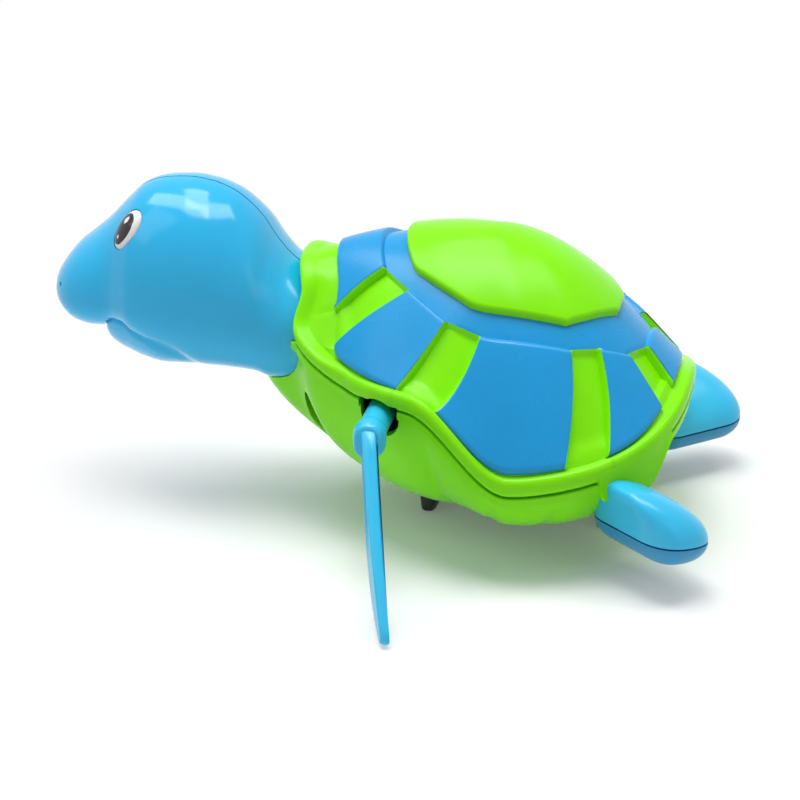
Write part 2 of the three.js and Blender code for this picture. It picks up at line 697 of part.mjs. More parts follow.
// Front flipper
const HULL_AT_AXLE = halfWidthAt(AXLE_X);
const BOSS_IN = HULL_AT_AXLE - 4.2;
const BLADE_IN = SHELL_HALF + 2.2;
const BOSS_OUT = BLADE_IN + 0.8;
function flipper(side) {
  const half = BLADE_REACH;
  const tip = BLADE_IN + half - 2.5;
  const shape = new THREE.Shape();
  shape.moveTo(BLADE_IN - 1.9, 1.7);
  shape.lineTo(BLADE_IN + 0.6, 1.5);
  shape.quadraticCurveTo(BLADE_IN + 2.4, 0.6, BLADE_IN + 4, -1.4);
  shape.lineTo(tip - 0.6, -BLADE_DROP + 2.4);
  shape.quadraticCurveTo(tip + 0.5, -BLADE_DROP + 0.4, tip - 1, -BLADE_DROP);
  shape.quadraticCurveTo(tip - 7, -BLADE_DROP + 1.2, BLADE_IN + 8.4, -BLADE_DROP + 7.6);
  shape.quadraticCurveTo(BLADE_IN + 2.6, -11, BLADE_IN + 0.4, -3);
  shape.lineTo(BLADE_IN - 1.9, -1.7);
  shape.closePath();
  const geometry = new THREE.ExtrudeGeometry(shape, { depth: 1, bevelEnabled: false, curveSegments: 4 });
  const p = geometry.getAttribute("position");
  for (let i = 0; i < p.count; i += 1) {
    const a = p.getX(i);
    const b = p.getY(i);
    const f = clamp((a - BLADE_IN) / half);
    const t = mix(BLADE_ROOT_T, BLADE_TIP_T, f);
    const bow = -0.35 * Math.sin(Math.PI * f);
    const x = AXLE_X + BLADE_SWEEP * Math.max(0, a - BLADE_IN) + bow + (p.getZ(i) - 0.5) * t;
    p.setXYZ(i, x, side * a, AXLE_Z + b);
  }
  const profile = [
    new THREE.Vector2(0, BOSS_IN),
    new THREE.Vector2(BOSS_R, BOSS_IN),
    new THREE.Vector2(BOSS_R, BOSS_OUT - 0.7),
    new THREE.Vector2(BOSS_R - 0.7, BOSS_OUT),
    new THREE.Vector2(0, BOSS_OUT),
  ];
  const turned = new THREE.LatheGeometry(profile, 18);
  turned.scale(1, side, 1);
  turned.translate(AXLE_X, 0, AXLE_Z);
  const reach = BOSS_OUT - 2.2 + PRESS;
  const bore = rod(AXLE_X, AXLE_Z, Math.min(side * reach, 0), Math.max(side * reach, 0), AXLE_R + PRESS, 12);
  return solid(geometry).add(solid(turned)).subtract(bore);
}

// Spur gear outline as a prism between two heights about a vertical axis.
function gearShape(teeth, bore) {
  const pitch = (MODULE * teeth) / 2;
  const rOut = pitch + 0.75 * MODULE;
  const rIn = pitch - 1.05 * MODULE;
  const shape = new THREE.Shape();
  const step = (2 * Math.PI) / teeth;
  const marks = [
    [-0.27, rIn],
    [-0.1, rOut],
    [0.1, rOut],
    [0.27, rIn],
  ];
  for (let i = 0; i < teeth; i += 1) {
    for (const [f, r] of marks) {
      const a = step * (i + f);
      if (i === 0 && f === marks[0][0]) shape.moveTo(r * Math.cos(a), r * Math.sin(a));
      else shape.lineTo(r * Math.cos(a), r * Math.sin(a));
    }
  }
  shape.closePath();
  if (bore) {
    const hole = new THREE.Path();
    hole.absarc(0, 0, bore, 0, 2 * Math.PI, true);
    shape.holes.push(hole);
  }
  return shape;
}
function gear(teeth, bore, thickness) {
  const geometry = new THREE.ExtrudeGeometry(gearShape(teeth, bore), {
    depth: thickness,
    bevelEnabled: false,
    curveSegments: 8,
  });
  return geometry;
}

// Heights of the gear stack, counted down from the axle.
const PINION_R = (MODULE * PINION_TEETH) / 2;
const CROWN_R = (MODULE * CROWN_TEETH) / 2;
const CROWN_TOP = AXLE_Z - PINION_R + 0.6 * MODULE;
const CROWN_FACE = AXLE_Z - PINION_R - 1.1 * MODULE;
const CROWN_BOTTOM = CROWN_FACE - 1;
const COVER_TOP = CROWN_BOTTOM - GAP;
const COVER_BOTTOM = COVER_TOP - PLATE_T;
const GREAT_TOP = COVER_BOTTOM - GAP;
const GREAT_BOTTOM = GREAT_TOP - GEAR_T;
const SPRING_TOP = GREAT_BOTTOM - GAP;
const SPRING_BOTTOM = SPRING_TOP - SPRING_H;
const FLOOR_TOP = SPRING_BOTTOM - GAP;
const FLOOR_BOTTOM = FLOOR_TOP - PLATE_T;
const SIDE_FLOOR = GREAT_BOTTOM - GAP;
const CENTRES = (MODULE * (GREAT_TEETH + PINION_TEETH)) / 2;
const SHAFT_X = AXLE_X;
const SHAFT_Y = Math.sqrt(CENTRES ** 2 - (KNOB_X - AXLE_X) ** 2);
const AXLE_PINION_Y = SHAFT_Y - CROWN_R;
const GREAT_TIP = (MODULE * GREAT_TEETH) / 2 + 0.75 * MODULE;
const CASE_IN = GREAT_TIP + 2 * GAP;
const CASE_OUT = CASE_IN + 1.2;
const SIDE_IN = PINION_R + MODULE + 2 * GAP;
const SIDE_OUT = SIDE_IN + 1.2;

function greatGear() {
  const geometry = gear(GREAT_TEETH, ARBOR_R + PRESS, GEAR_T);
  geometry.translate(KNOB_X, 0, GREAT_BOTTOM);
  return solid(geometry);
}
// Teeth of the meshing pinion are turned so that a gap faces the great gear's tooth.
function crownGear() {
  const geometry = gear(PINION_TEETH, 0, COVER_TOP + 0.2 - (GREAT_BOTTOM - 0.1));
  const toGreat = Math.atan2(-SHAFT_Y, KNOB_X - SHAFT_X);
  const fromGreat = toGreat + Math.PI;
  const greatStep = (2 * Math.PI) / GREAT_TEETH;
  const pinionStep = (2 * Math.PI) / PINION_TEETH;
  const phase = fromGreat / greatStep - Math.floor(fromGreat / greatStep);
  geometry.rotateZ(toGreat + pinionStep * (0.5 + phase));
  geometry.translate(SHAFT_X, SHAFT_Y, GREAT_BOTTOM - 0.1);
  const outer = CROWN_R + 0.95;
  let body = post(SHAFT_X, SHAFT_Y, COVER_TOP + 0.1, CROWN_FACE, PINION_R + 0.3, 14);
  body = body.add(post(SHAFT_X, SHAFT_Y, CROWN_BOTTOM, CROWN_FACE, outer, 24));
  body = body.add(solid(geometry));
  const inner = CROWN_R - 1.2;
  const tip = CROWN_R + 0.7;
  for (let i = 0; i < CROWN_TEETH; i += 1) {
    const a = (2 * Math.PI * (i + 0.5)) / CROWN_TEETH - Math.PI / 2;
    const rings = [];
    const at = (r, w, z) => [
      SHAFT_X + r * Math.cos(a) - w * Math.sin(a),
      SHAFT_Y + r * Math.sin(a) + w * Math.cos(a),
      z,
    ];
    const low = 0.25 * MODULE * Math.PI;
    const high = 0.1 * MODULE * Math.PI;
    rings.push([at(CROWN_R, 0, CROWN_FACE - 0.3)]);
    for (const [z, w] of [
      [CROWN_FACE - 0.3, low],
      [CROWN_TOP, high],
    ]) {
      rings.push([at(inner, -w * 0.8, z), at(tip, -w, z), at(tip, w, z), at(inner, w * 0.8, z)]);
    }
    rings.push([at(CROWN_R, 0, CROWN_TOP)]);
    body = body.add(ringSolid(rings));
  }
  return body.subtract(post(SHAFT_X, SHAFT_Y, FLOOR_BOTTOM, AXLE_Z, SHAFT_R + PRESS, 16));
}
function axlePinion() {
  const width = 2.2;
  const geometry = gear(PINION_TEETH, AXLE_R + PRESS, width);
  geometry.rotateX(Math.PI / 2);
  geometry.rotateY(Math.PI / 2);
  geometry.translate(AXLE_X, AXLE_PINION_Y + width / 2, AXLE_Z);
  return solid(geometry);
}
// Spiral strip between the arbor and the case wall.
function mainspring() {
  const from = ARBOR_R + GAP + SPRING_T;
  const to = CASE_IN - GAP - SPRING_T;
  const n = SPRING_TURNS * 11;
  const rings = [];
  for (let i = 0; i <= n; i += 1) {
    const a = (2 * Math.PI * SPRING_TURNS * i) / n;
    const r = mix(from, to, i / n);
    const at = (d, z) => [KNOB_X + (r + d) * Math.cos(a), (r + d) * Math.sin(a), z];
    const h = SPRING_T / 2;
    rings.push([at(-h, SPRING_BOTTOM), at(h, SPRING_BOTTOM), at(h, SPRING_TOP), at(-h, SPRING_TOP)]);
  }
  const middle = (ring) => [[0, 1, 2].map((k) => ring.reduce((sum, p) => sum + p[k], 0) / 4)];
  return ringSolid([middle(rings[0]), ...rings, middle(rings[n])]);
}

// Screw positions: through the chest into the neck, at the tail, and at the gearbox cover's ears.
const SHELL_SCREWS = [
  [-10.9, -9.8],
  [-10.9, 9.8],
  [31.5, -9],
  [31.5, 9],
];
const NECK_SCREWS = SHELL_SCREWS.filter((s) => s[0] < 0);
const TAIL_SCREWS = SHELL_SCREWS.filter((s) => s[0] > 0);
const COVER_SCREWS = [
  [-6.5, -5.5],
  [-6.5, 5.5],
  [KNOB_X + 9, -8.5],
  [KNOB_X + 9, 8.5],
];
const mateZ = ([x, y]) => edgeZ(x, y) - 1.6;
const seatZ = (s) => (s[0] < 0 ? NECK_SEAT_Z : mateZ(s) - SCREW_L * 0.45);
const POST_R = SCREW_HEAD_R + 0.5;
const TUBE_R = SCREW_R + 1.2;

function screw(x, y, headZ, up) {
  const d = up ? 1 : -1;
  const profile = [
    new THREE.Vector2(0, 0),
    new THREE.Vector2(SCREW_HEAD_R - 0.3, 0),
    new THREE.Vector2(SCREW_HEAD_R, 0.4),
    new THREE.Vector2(SCREW_HEAD_R, SCREW_HEAD_H),
    new THREE.Vector2(SCREW_R, SCREW_HEAD_H),
    new THREE.Vector2(SCREW_R, SCREW_L - 1),
    new THREE.Vector2(0.25, SCREW_L),
    new THREE.Vector2(0, SCREW_L),
  ];
  const geometry = new THREE.LatheGeometry(profile, 8);
  geometry.rotateX(Math.PI / 2);
  geometry.scale(1, 1, d);
  geometry.translate(x, y, headZ);
  const slot = block(x - SCREW_HEAD_R, x + SCREW_HEAD_R, y - 0.25, y + 0.25, headZ - 0.6, headZ + 0.6);
  return solid(geometry).subtract(slot);
}

// Upper shell
const plug = neckPlug(GAP);
let upper = upperDome();
const round = (f) => Array.from({ length: 24 }, (_, i) => f((2 * Math.PI * i) / 24));
const domeFill = ringSolid([
  [[APEX_X, 0, APEX_Z - 0.6]],
  ...[0.4, 0.8, 0.93].map((t) => round((phi) => domeOffset(phi, t, -0.5))),
  round((phi) => rimPoint(phi, -BEAD_R, -BEAD_R)),
  round((phi) => [...rimPoint(phi, -BEAD_R, 0).slice(0, 2), 0]),
  [[APEX_X, 0, 0]],
]);
for (const s of TAIL_SCREWS) {
  const tube = post(s[0], s[1], mateZ(s) + GAP / 2, APEX_Z, TUBE_R, 12);
  upper = upper.add(tube.intersect(domeFill));
}
const inRim = ringSolid([
  [[SHELL_X, 0, 0]],
  round((phi) => [...rimPoint(phi, 0.2, 0).slice(0, 2), 0]),
  round((phi) => [...rimPoint(phi, 0.2, 0).slice(0, 2), APEX_Z]),
  [[SHELL_X, 0, APEX_Z]],
]);
for (const side of [-1, 1]) {
  const root = padRoot(side, 0, PAD_ROOT_Z - 0.6, ROOT_TOP).intersect(inRim);
  upper = upper.add(root).add(pad(side, 1));
}
// Opening for the flipper boss, shared by both shells.
function bossOpening(side) {
  const r = BOSS_R + 2 * GAP;
  const y0 = HULL_AT_AXLE - 6;
  const y1 = HULL_AT_AXLE + 4;
  const a = side > 0 ? y0 : -y1;
  const b = side > 0 ? y1 : -y0;
  const low = rod(AXLE_X, AXLE_Z, a, b, r, 24);
  return low.add(block(AXLE_X - r - 0.6, AXLE_X + r + 0.6, a, b, AXLE_Z, edgeZ(AXLE_X, 0) - BEAD_R * 0.6));
}
for (const side of [-1, 1]) upper = upper.subtract(bossOpening(side));
upper = upper.subtract(plug);
for (const s of TAIL_SCREWS) {
  upper = upper.subtract(post(s[0], s[1], mateZ(s) - 1, mateZ(s) + SCREW_L, SCREW_R + PRESS, 10));
}
place("upper_shell", upper, PAINTED_SHELL);

// Lower shell
let lower = lowerBowl();
const bowlFill = ringSolid([
  [[BOWL_X, 0, keelZ(BOWL_X) + 0.4]],
  ...[0.4, 0.7, 0.88, 1].map((s) => {
    const ring = [];
    for (let i = 0; i < 26; i += 1) ring.push(bellyPoint((2 * Math.PI * i) / 26, s, 0.9));
    return ring;
  }),
  Array.from({ length: 26 }, (_, i) => {
    const f = lipFrame((2 * Math.PI * i) / 26);
    return [f.x - f.nx * 1.8, f.y - f.ny * 1.8, APEX_Z];
  }),
  [[BOWL_X, 0, APEX_Z]],
]);
const NECK_MID_Z = HEAD[0][4];
for (const s of SHELL_SCREWS) {
  const top = s[0] < 0 ? NECK_SEAT_Z + 0.65 * SCREW_L : mateZ(s) - GAP / 2;
  lower = lower.add(post(s[0], s[1], 0, top, SCREW_HEAD_R + 0.8, 14).intersect(bowlFill));
}
for (const [x, y] of COVER_SCREWS) {
  lower = lower.add(post(x, y, 0, COVER_BOTTOM - GAP, POST_R, 12).intersect(bowlFill));
}
const seat = post(KNOB_X, 0, 0, FLOOR_BOTTOM - GAP, HUB_R + 2, 18).intersect(bowlFill);
lower = lower.add(seat);
const heel = block(
  HEEL_X - HEEL_LENGTH / 2,
  HEEL_X + HEEL_LENGTH / 2,
  -HEEL_WIDTH / 2,
  HEEL_WIDTH / 2,
  0,
  keelZ(HEEL_X) + 3 * WALL,
);
lower = lower.add(heel);
for (const side of [-1, 1]) {
  lower = lower.add(pad(side, -1));
  const under = padRoot(side, -0.4, PAD_TIP_Z - 1.2, PAD_ROOT_Z - PAD_SEAM - 1.2);
  lower = lower.add(under);
}
for (const side of [-1, 1]) {
  lower = lower.subtract(bossOpening(side));
  lower = lower.subtract(padRoot(side, 1.5 * GAP, PAD_ROOT_Z - 0.6 - GAP, APEX_Z));
  lower = lower.subtract(pad(side, 1, GAP));
}
lower = lower.subtract(plug);
lower = lower.subtract(post(KNOB_X, 0, -1, FLOOR_BOTTOM, HUB_R + GAP, 18));
for (const s of SHELL_SCREWS) {
  lower = lower.subtract(post(s[0], s[1], -1, seatZ(s) + SCREW_HEAD_H, SCREW_HEAD_R + GAP, 14));
  lower = lower.subtract(post(s[0], s[1], 0, seatZ(s) + SCREW_L, SCREW_R + PRESS, 10));
}
for (const [x, y] of COVER_SCREWS) {
  const bottom = COVER_TOP - SCREW_L + SCREW_HEAD_H - 2 * GAP;
  lower = lower.subtract(post(x, y, bottom, COVER_TOP, SCREW_R + PRESS, 10));
}
place("lower_shell", lower, GREEN_SHELL);

// Head and eyes
for (const [name, side] of [
  ["left", -1],
  ["right", 1],
]) {
  const [x, y] = NECK_SCREWS.find((s) => s[1] * side > 0);
  let half = headHalf(side).add(post(x, y, NECK_SEAT_Z, NECK_MID_Z, TUBE_R, 12).intersect(neckPlug(-0.2)));
  half = half.subtract(post(x, y, NECK_SEAT_Z, NECK_SEAT_Z + SCREW_L, SCREW_R + PRESS, 10));
  place("head_" + name, half.subtract(eyeBall(side, GAP)), HEAD_BLUE);
  place("eye_" + name, eyeBall(side, 0), EYE_WHITE);
}

// Front flippers, axle and its pinion
place("front_flipper_left", flipper(-1), FLIPPER_BLUE);
place("front_flipper_right", flipper(1), FLIPPER_BLUE);
const AXLE_HALF = BOSS_OUT - 2.2;
place("flipper_axle", rod(AXLE_X, AXLE_Z, -AXLE_HALF, AXLE_HALF, AXLE_R, 16), BRIGHT_STEEL);
place("axle_pinion", axlePinion(), GEAR_IVORY);

// Gear train and spring
place("crown_gear", crownGear(), GEAR_IVORY);
const SHAFT_BOTTOM = SIDE_FLOOR - 0.8;
const SHAFT_TOP = CROWN_FACE + 0.4;
place("intermediate_shaft", post(SHAFT_X, SHAFT_Y, SHAFT_BOTTOM, SHAFT_TOP, SHAFT_R, 14), BRIGHT_STEEL);
place("great_gear", greatGear(), GEAR_IVORY);
place("mainspring", mainspring(), SPRING_STEEL);
const ARBOR_BOTTOM = WING_H - 1.2;
place("winding_arbor", post(KNOB_X, 0, ARBOR_BOTTOM, COVER_TOP, ARBOR_R, 14), BRIGHT_STEEL);

// Gearbox
let base = post(KNOB_X, 0, FLOOR_BOTTOM, COVER_BOTTOM - GAP, CASE_OUT, 28);
base = base.add(post(SHAFT_X, SHAFT_Y, SIDE_FLOOR - PLATE_T, COVER_BOTTOM - GAP, SIDE_OUT, 16));
base = base.subtract(post(KNOB_X, 0, FLOOR_TOP, COVER_TOP, CASE_IN, 28));
base = base.subtract(post(SHAFT_X, SHAFT_Y, SIDE_FLOOR, COVER_TOP, SIDE_IN, 16));
base = base.subtract(post(KNOB_X, 0, FLOOR_BOTTOM - 1, COVER_TOP, ARBOR_R + GAP, 14));
base = base.subtract(post(SHAFT_X, SHAFT_Y, SIDE_FLOOR - 1, COVER_TOP, SHAFT_R + PRESS, 14));
place("gearbox_base", base, CASE_WHITE);

let cover = post(KNOB_X, 0, COVER_BOTTOM, COVER_TOP, CASE_OUT, 28);
cover = cover.add(post(SHAFT_X, SHAFT_Y, COVER_BOTTOM, COVER_TOP, SIDE_OUT, 16));
for (const [x, y] of COVER_SCREWS) {
  cover = cover.add(post(x, y, COVER_BOTTOM, COVER_TOP, POST_R, 12));
  const length = Math.hypot(x - KNOB_X, y) / 2;
  const arm = new THREE.BoxGeometry(length, 2 * POST_R - 1.6, PLATE_T);
  arm.translate(length / 2, 0, (COVER_BOTTOM + COVER_TOP) / 2);
  arm.rotateZ(Math.atan2(-y, KNOB_X - x));
  arm.translate(x, y, 0);
  cover = cover.add(solid(arm));
}
const LUG_T = 1.8;
const LUGS = [AXLE_PINION_Y - 3.4, AXLE_PINION_Y - 11];
for (const y of LUGS) {
  const lug = block(AXLE_X - 2, AXLE_X + 2, y - LUG_T / 2, y + LUG_T / 2, COVER_BOTTOM, AXLE_Z);
  cover = cover.add(lug).add(rod(AXLE_X, AXLE_Z, y - LUG_T / 2, y + LUG_T / 2, 2, 14));
}
const PINION_HOLE = PINION_R + MODULE + GAP;
cover = cover.subtract(post(SHAFT_X, SHAFT_Y, COVER_BOTTOM - 1, COVER_TOP + 0.5, PINION_HOLE, 18));
cover = cover.subtract(post(KNOB_X, 0, COVER_BOTTOM - 1, COVER_TOP + 1, ARBOR_R + PRESS, 14));
cover = cover.subtract(rod(AXLE_X, AXLE_Z, LUGS[1] - 3, LUGS[0] + 3, AXLE_R + PRESS, 12));
for (const [x, y] of COVER_SCREWS) {
  cover = cover.subtract(post(x, y, COVER_BOTTOM - 1, COVER_TOP + 1, SCREW_R + PRESS, 10));
}
place("gearbox_cover", cover, CASE_WHITE);

// Winding knob: hub in the belly and a tapered wing below it
let knob = post(KNOB_X, 0, WING_H - 0.6, FLOOR_BOTTOM - GAP, HUB_R, 18);
const wing = ringSolid([
  [[KNOB_X, 0, 0]],
  ...[
    [0, 0.25, 0.41],
    [0.35, 0.42, 0.48],
    [WING_H * 0.55, 0.5, 0.5],
    [WING_H, 0.5, 0.42],
  ].map(([z, fx, fy]) => {
    const ring = [];
    for (let i = 0; i < 20; i += 1) {
      const a = (2 * Math.PI * i) / 20;
      const c = Math.cos(a);
      const s = Math.sin(a);
      const px = Math.sign(c) * Math.abs(c) ** 0.5 * WING_T * fx;
      const py = Math.sign(s) * Math.abs(s) ** 0.5 * WING_LENGTH * fy;
      ring.push([KNOB_X + px, py, z]);
    }
    return ring;
  }),
  [[KNOB_X, 0, WING_H]],
]);
knob = knob.add(wing).subtract(post(KNOB_X, 0, ARBOR_BOTTOM - PRESS, COVER_TOP, ARBOR_R + PRESS, 14));
place("winding_knob", knob, KNOB_GREY);

// Screws
SHELL_SCREWS.forEach((s, i) => {
  place("shell_screw_" + (i + 1), screw(s[0], s[1], seatZ(s) - GAP, true), BRIGHT_STEEL);
});
COVER_SCREWS.forEach(([x, y], i) => {
  place("gearbox_screw_" + (i + 1), screw(x, y, COVER_TOP + SCREW_HEAD_H + GAP, false), BRIGHT_STEEL);
});

// The origin is the middle of the box's bottom face.
const box = new THREE.Box3().setFromObject(root);
const middle = box.getCenter(new THREE.Vector3());
root.position.set(-middle.x, -middle.y, -box.min.z);
const whole = new THREE.Group();
whole.name = "wind_up_bath_toy";
whole.add(root);

export default whole;
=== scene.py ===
import math

import bmesh
import bpy
import numpy as np
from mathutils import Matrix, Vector


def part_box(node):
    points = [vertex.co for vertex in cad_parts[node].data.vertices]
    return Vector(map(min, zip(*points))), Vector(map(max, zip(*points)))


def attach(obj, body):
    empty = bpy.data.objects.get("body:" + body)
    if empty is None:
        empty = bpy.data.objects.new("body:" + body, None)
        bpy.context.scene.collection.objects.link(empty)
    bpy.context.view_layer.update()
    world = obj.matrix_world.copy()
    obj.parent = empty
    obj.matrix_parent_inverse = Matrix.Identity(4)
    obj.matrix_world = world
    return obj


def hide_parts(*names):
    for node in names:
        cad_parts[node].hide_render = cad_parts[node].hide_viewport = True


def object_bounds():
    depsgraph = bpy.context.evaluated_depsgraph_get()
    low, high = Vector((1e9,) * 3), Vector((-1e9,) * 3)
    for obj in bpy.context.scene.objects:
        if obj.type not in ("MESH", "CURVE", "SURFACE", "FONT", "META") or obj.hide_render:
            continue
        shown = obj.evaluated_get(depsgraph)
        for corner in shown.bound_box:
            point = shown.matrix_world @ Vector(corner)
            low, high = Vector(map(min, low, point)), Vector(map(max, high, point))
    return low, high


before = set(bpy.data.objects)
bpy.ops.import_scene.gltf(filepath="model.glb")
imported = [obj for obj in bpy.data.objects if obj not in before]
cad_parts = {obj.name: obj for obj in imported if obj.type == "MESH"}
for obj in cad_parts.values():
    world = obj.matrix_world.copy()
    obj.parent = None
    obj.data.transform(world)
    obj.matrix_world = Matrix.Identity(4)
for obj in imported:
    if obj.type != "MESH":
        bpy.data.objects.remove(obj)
cad_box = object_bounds()
scene = bpy.context.scene
scene.view_settings.view_transform = "Standard"

# A millimetre in metres, and a metre in millimetres.
MM, MM_PER_M = 0.001, 1000

# Sizes of the part in millimetres, in the frame that its shapes are drawn in.
GAP = 0.3
WALL = 1.5
SHELL_X, SHELL_FRONT, SHELL_REAR, SHELL_HALF = 20.0, 34.3, 26.8, 28.5
FRONT_POWER, REAR_POWER = 1.94, 2.29
APEX_X, APEX_Z = 15.2, 47.4
PANEL_RAISE, SCUTE_RAISE, SHOULDER = 0.9, 1.2, 0.6
RIM_SIDE_Z, RIM_ARCH_RISE, RIM_TAIL_RISE = 17.5, 10.8, 9.0
COLLAR_RISE, COLLAR_HALF, COLLAR_REACH, CORNER_REACH = 13.6, 13.8, 0.9, 2.7
BEAD_R, LIP_H, SLIT = 1.6, 1.3, 0.1
BEAD_IN = 0.7 * BEAD_R
BEAD_SQUARE, BEAD_LOW = 0.72, 0.5
CHEST_REACH, CHEST_RISE, CHEST_HALF = 9.5, 4.5, 10.4
HEEL_X, HEEL_LENGTH, HEEL_WIDTH, HEEL_TOP, HEEL_ROUND = 35.5, 5.0, 10.0, 6.8, 0.6
KEEL_X, KEEL_Z, BOWL_X = 33.0, 2.8, 16.0
AXLE_X, AXLE_Z, BOSS_R = 1.3, 24.5, 2.2
BLADE_REACH, BLADE_DROP, BLADE_SWEEP = 24.0, 24.1, 0.335
BLADE_ROOT_T, BLADE_TIP_T = 2.2, 1.4
PAD_X, PAD_Y, PAD_LENGTH, PAD_HALF, PAD_ANGLE = 40.5, 18.9, 8.2, 5.9, math.radians(41.8)
PAD_Z, PAD_TOP, PAD_BOTTOM, PAD_SEAM = 9.5, 7.2, 4.1, 0.3
PAD_POWER, PAD_SKEW, PAD_BACK, PAD_ROLL = 2.0, 0.75, 0.5, 0.13
HOOD_FROM, HOOD_TO, HOOD_Z, HOOD_FLARE = math.radians(57.5), math.radians(27), 14.3, 0.6
KNOB_X, WING_T, WING_LENGTH, WING_H, HUB_R, KNOB_TOP = 5.4, 3.0, 9.0, 4.4, 2.4, 12.0
SEAM, SEAM_SHUT, NECK_END_X, HEAD_WALL = 0.3, 0.005, -8.0, 1.3
LIP_STEP, LIP_CREASE, LIP_SOFT = 0.45, 0.35, 0.8
EYE_X, EYE_Z, EYE_W, EYE_H, EYE_D, EYE_SUNK = -42.6, 46.6, 2.5, 3.6, 1.5, 0.75
NOSTRIL_X, NOSTRIL_Z, NOSTRIL_R = -54.5, 35.4, 0.45
SHELL_SCREWS = [(-10.9, -9.8), (-10.9, 9.8), (31.5, -9.0), (31.5, 9.0)]
SCREW_HEAD_R, SCREW_HEAD_H, SCREW_L, NECK_SEAT_Z = 1.9, 1.4, 8.0, 21.0
WELL_R, WELL_WALL = SCREW_HEAD_R + 2 * GAP, 0.8

# The shapes' frame lies this far along X from the part's frame.
axle_low, axle_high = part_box("flipper_axle")
SHIFT = (axle_low[0] + axle_high[0]) * (MM_PER_M / 2) - AXLE_X


def clamp(v):
    return np.clip(v, 0.0, 1.0)


def mix(a, b, t):
    return a + (b - a) * t


def ease(a, b, v):
    """Smooth step from 0 at a to 1 at b."""
    t = clamp((v - a) / (b - a))
    return t * t * (3 - 2 * t)


def quarter_round(s):
    """Height of a rounded wall at a share of its width."""
    return math.sqrt(1 - (1 - s) ** 2)


def wrapped(phi):
    """Angle from the tail, without its sign."""
    return np.abs(np.arctan2(np.sin(phi), np.cos(phi)))


def turn(n):
    """Angles of n points round a circle."""
    return np.linspace(0, 2 * np.pi, n, endpoint=False)


def unit(v):
    return v / np.maximum(np.linalg.norm(v, axis=-1, keepdims=True), 1e-12)


# Meshes
MERGE_M = 2e-6


def face_out(obj):
    """Merges points that coincide and turns the faces outward."""
    bm = bmesh.new()
    bm.from_mesh(obj.data)
    bmesh.ops.remove_doubles(bm, verts=bm.verts, dist=MERGE_M)
    bmesh.ops.recalc_face_normals(bm, faces=bm.faces)
    bm.to_mesh(obj.data)
    bm.free()


def crease(obj, angle):
    """Marks edges that turn by more than an angle in degrees as sharp."""
    obj.data.set_sharp_from_angle(angle=math.radians(angle))


def make(name, points, faces, materials, index=None):
    """A smooth mesh object from millimetre points; index picks each face's material."""
    p = np.asarray(points, float).reshape(-1, 3) * MM
    p[:, 0] += SHIFT * MM
    p = np.clip(p, cad_box[0], cad_box[1])
    mesh = bpy.data.meshes.new(name)
    mesh.from_pydata(p.tolist(), [], [tuple(int(i) for i in f) for f in faces])
    for m in materials:
        mesh.materials.append(m)
    if index is not None:
        mesh.polygons.foreach_set("material_index", np.asarray(index, np.int32))
    mesh.polygons.foreach_set("use_smooth", np.ones(len(mesh.polygons), bool))
    mesh.update()
    obj = bpy.data.objects.new(name, mesh)
    scene.collection.objects.link(obj)
    face_out(obj)
    return obj


def grid_faces(rows, cols, wrap=True):
    faces = []
    last = cols if wrap else cols - 1
    for r in range(rows - 1):
        for c in range(last):
            d = (c + 1) % cols
            a = r * cols
            b = (r + 1) * cols
            faces.append((a + c, a + d, b + d, b + c))
    return faces


def loft(name, rings, materials, index=None, angle=None, caps="fan"):
    """Rings of points of equal length, closed at both ends by a fan or by one face."""
    rings = [np.asarray(r, float) for r in rings]
    n = len(rings[0])
    points = np.concatenate(rings)
    end = len(points) - n
    faces = grid_faces(len(rings), n)
    if caps == "face":
        faces += [tuple(range(n))[::-1], tuple(range(end, end + n))]
    else:
        first, last = len(points), len(points) + 1
        points = np.vstack([points, rings[0].mean(0), rings[-1].mean(0)])
        faces += [(first, (i + 1) % n, i) for i in range(n)]
        faces += [(last, end + i, end + (i + 1) % n) for i in range(n)]
    obj = make(name, points, faces, materials, index)
    if angle is not None:
        crease(obj, angle)
    return obj


def cut(obj, cutters, solver="EXACT", operation="DIFFERENCE"):
    """Cuts the cutters out of obj, or keeps what they share with it, and removes them."""
    for c in cutters:
        m = obj.modifiers.new("cut", "BOOLEAN")
        m.operation = operation
        m.solver = solver
        m.object = c
        if hasattr(m, "material_mode"):
            m.material_mode = "INDEX"
    deps = bpy.context.evaluated_depsgraph_get()
    mesh = bpy.data.meshes.new_from_object(obj.evaluated_get(deps))
    old = obj.data
    obj.modifiers.clear()
    obj.data = mesh
    bpy.data.meshes.remove(old)
    for c in cutters:
        bpy.data.objects.remove(c)


def smooth_again(obj, angle):
    """Smooths a mesh that was cut, apart from edges sharper than the angle."""
    obj.data.polygons.foreach_set("use_smooth", np.ones(len(obj.data.polygons), bool))
    crease(obj, angle)


def disc(x, y, r, n):
    a = turn(n)
    return np.stack([x + r * np.cos(a), y + r * np.sin(a)], 1)


def post(name, x, y, z0, z1, r, n):
    plan = disc(x, y, r, n)
    return loft(name, [np.column_stack([plan, np.full(n, z)]) for z in (z0, z1)], [], angle=40)


def rod(name, x, z, y0, y1, r, n=32):
    plan = disc(x, z, r, n)
    rings = [np.column_stack([plan[:, 0], np.full(n, y), plan[:, 1]]) for y in (y0, y1)]
    return loft(name, rings, [], angle=40)


def block(name, x0, x1, y0, y1, z0, z1):
    plan = np.array([[x0, y0], [x1, y0], [x1, y1], [x0, y1]])
    return loft(name, [np.column_stack([plan, np.full(4, z)]) for z in (z0, z1)], [], angle=40)


def finish_piece(obj, body, slot, *nodes):
    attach(obj, body)
    if nodes:
        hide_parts(*nodes)


# Materials
PLASTIC_IOR, NOISE_SPREAD, GRAIN_DEPTH_M = 1.5, 90.0, 0.0002


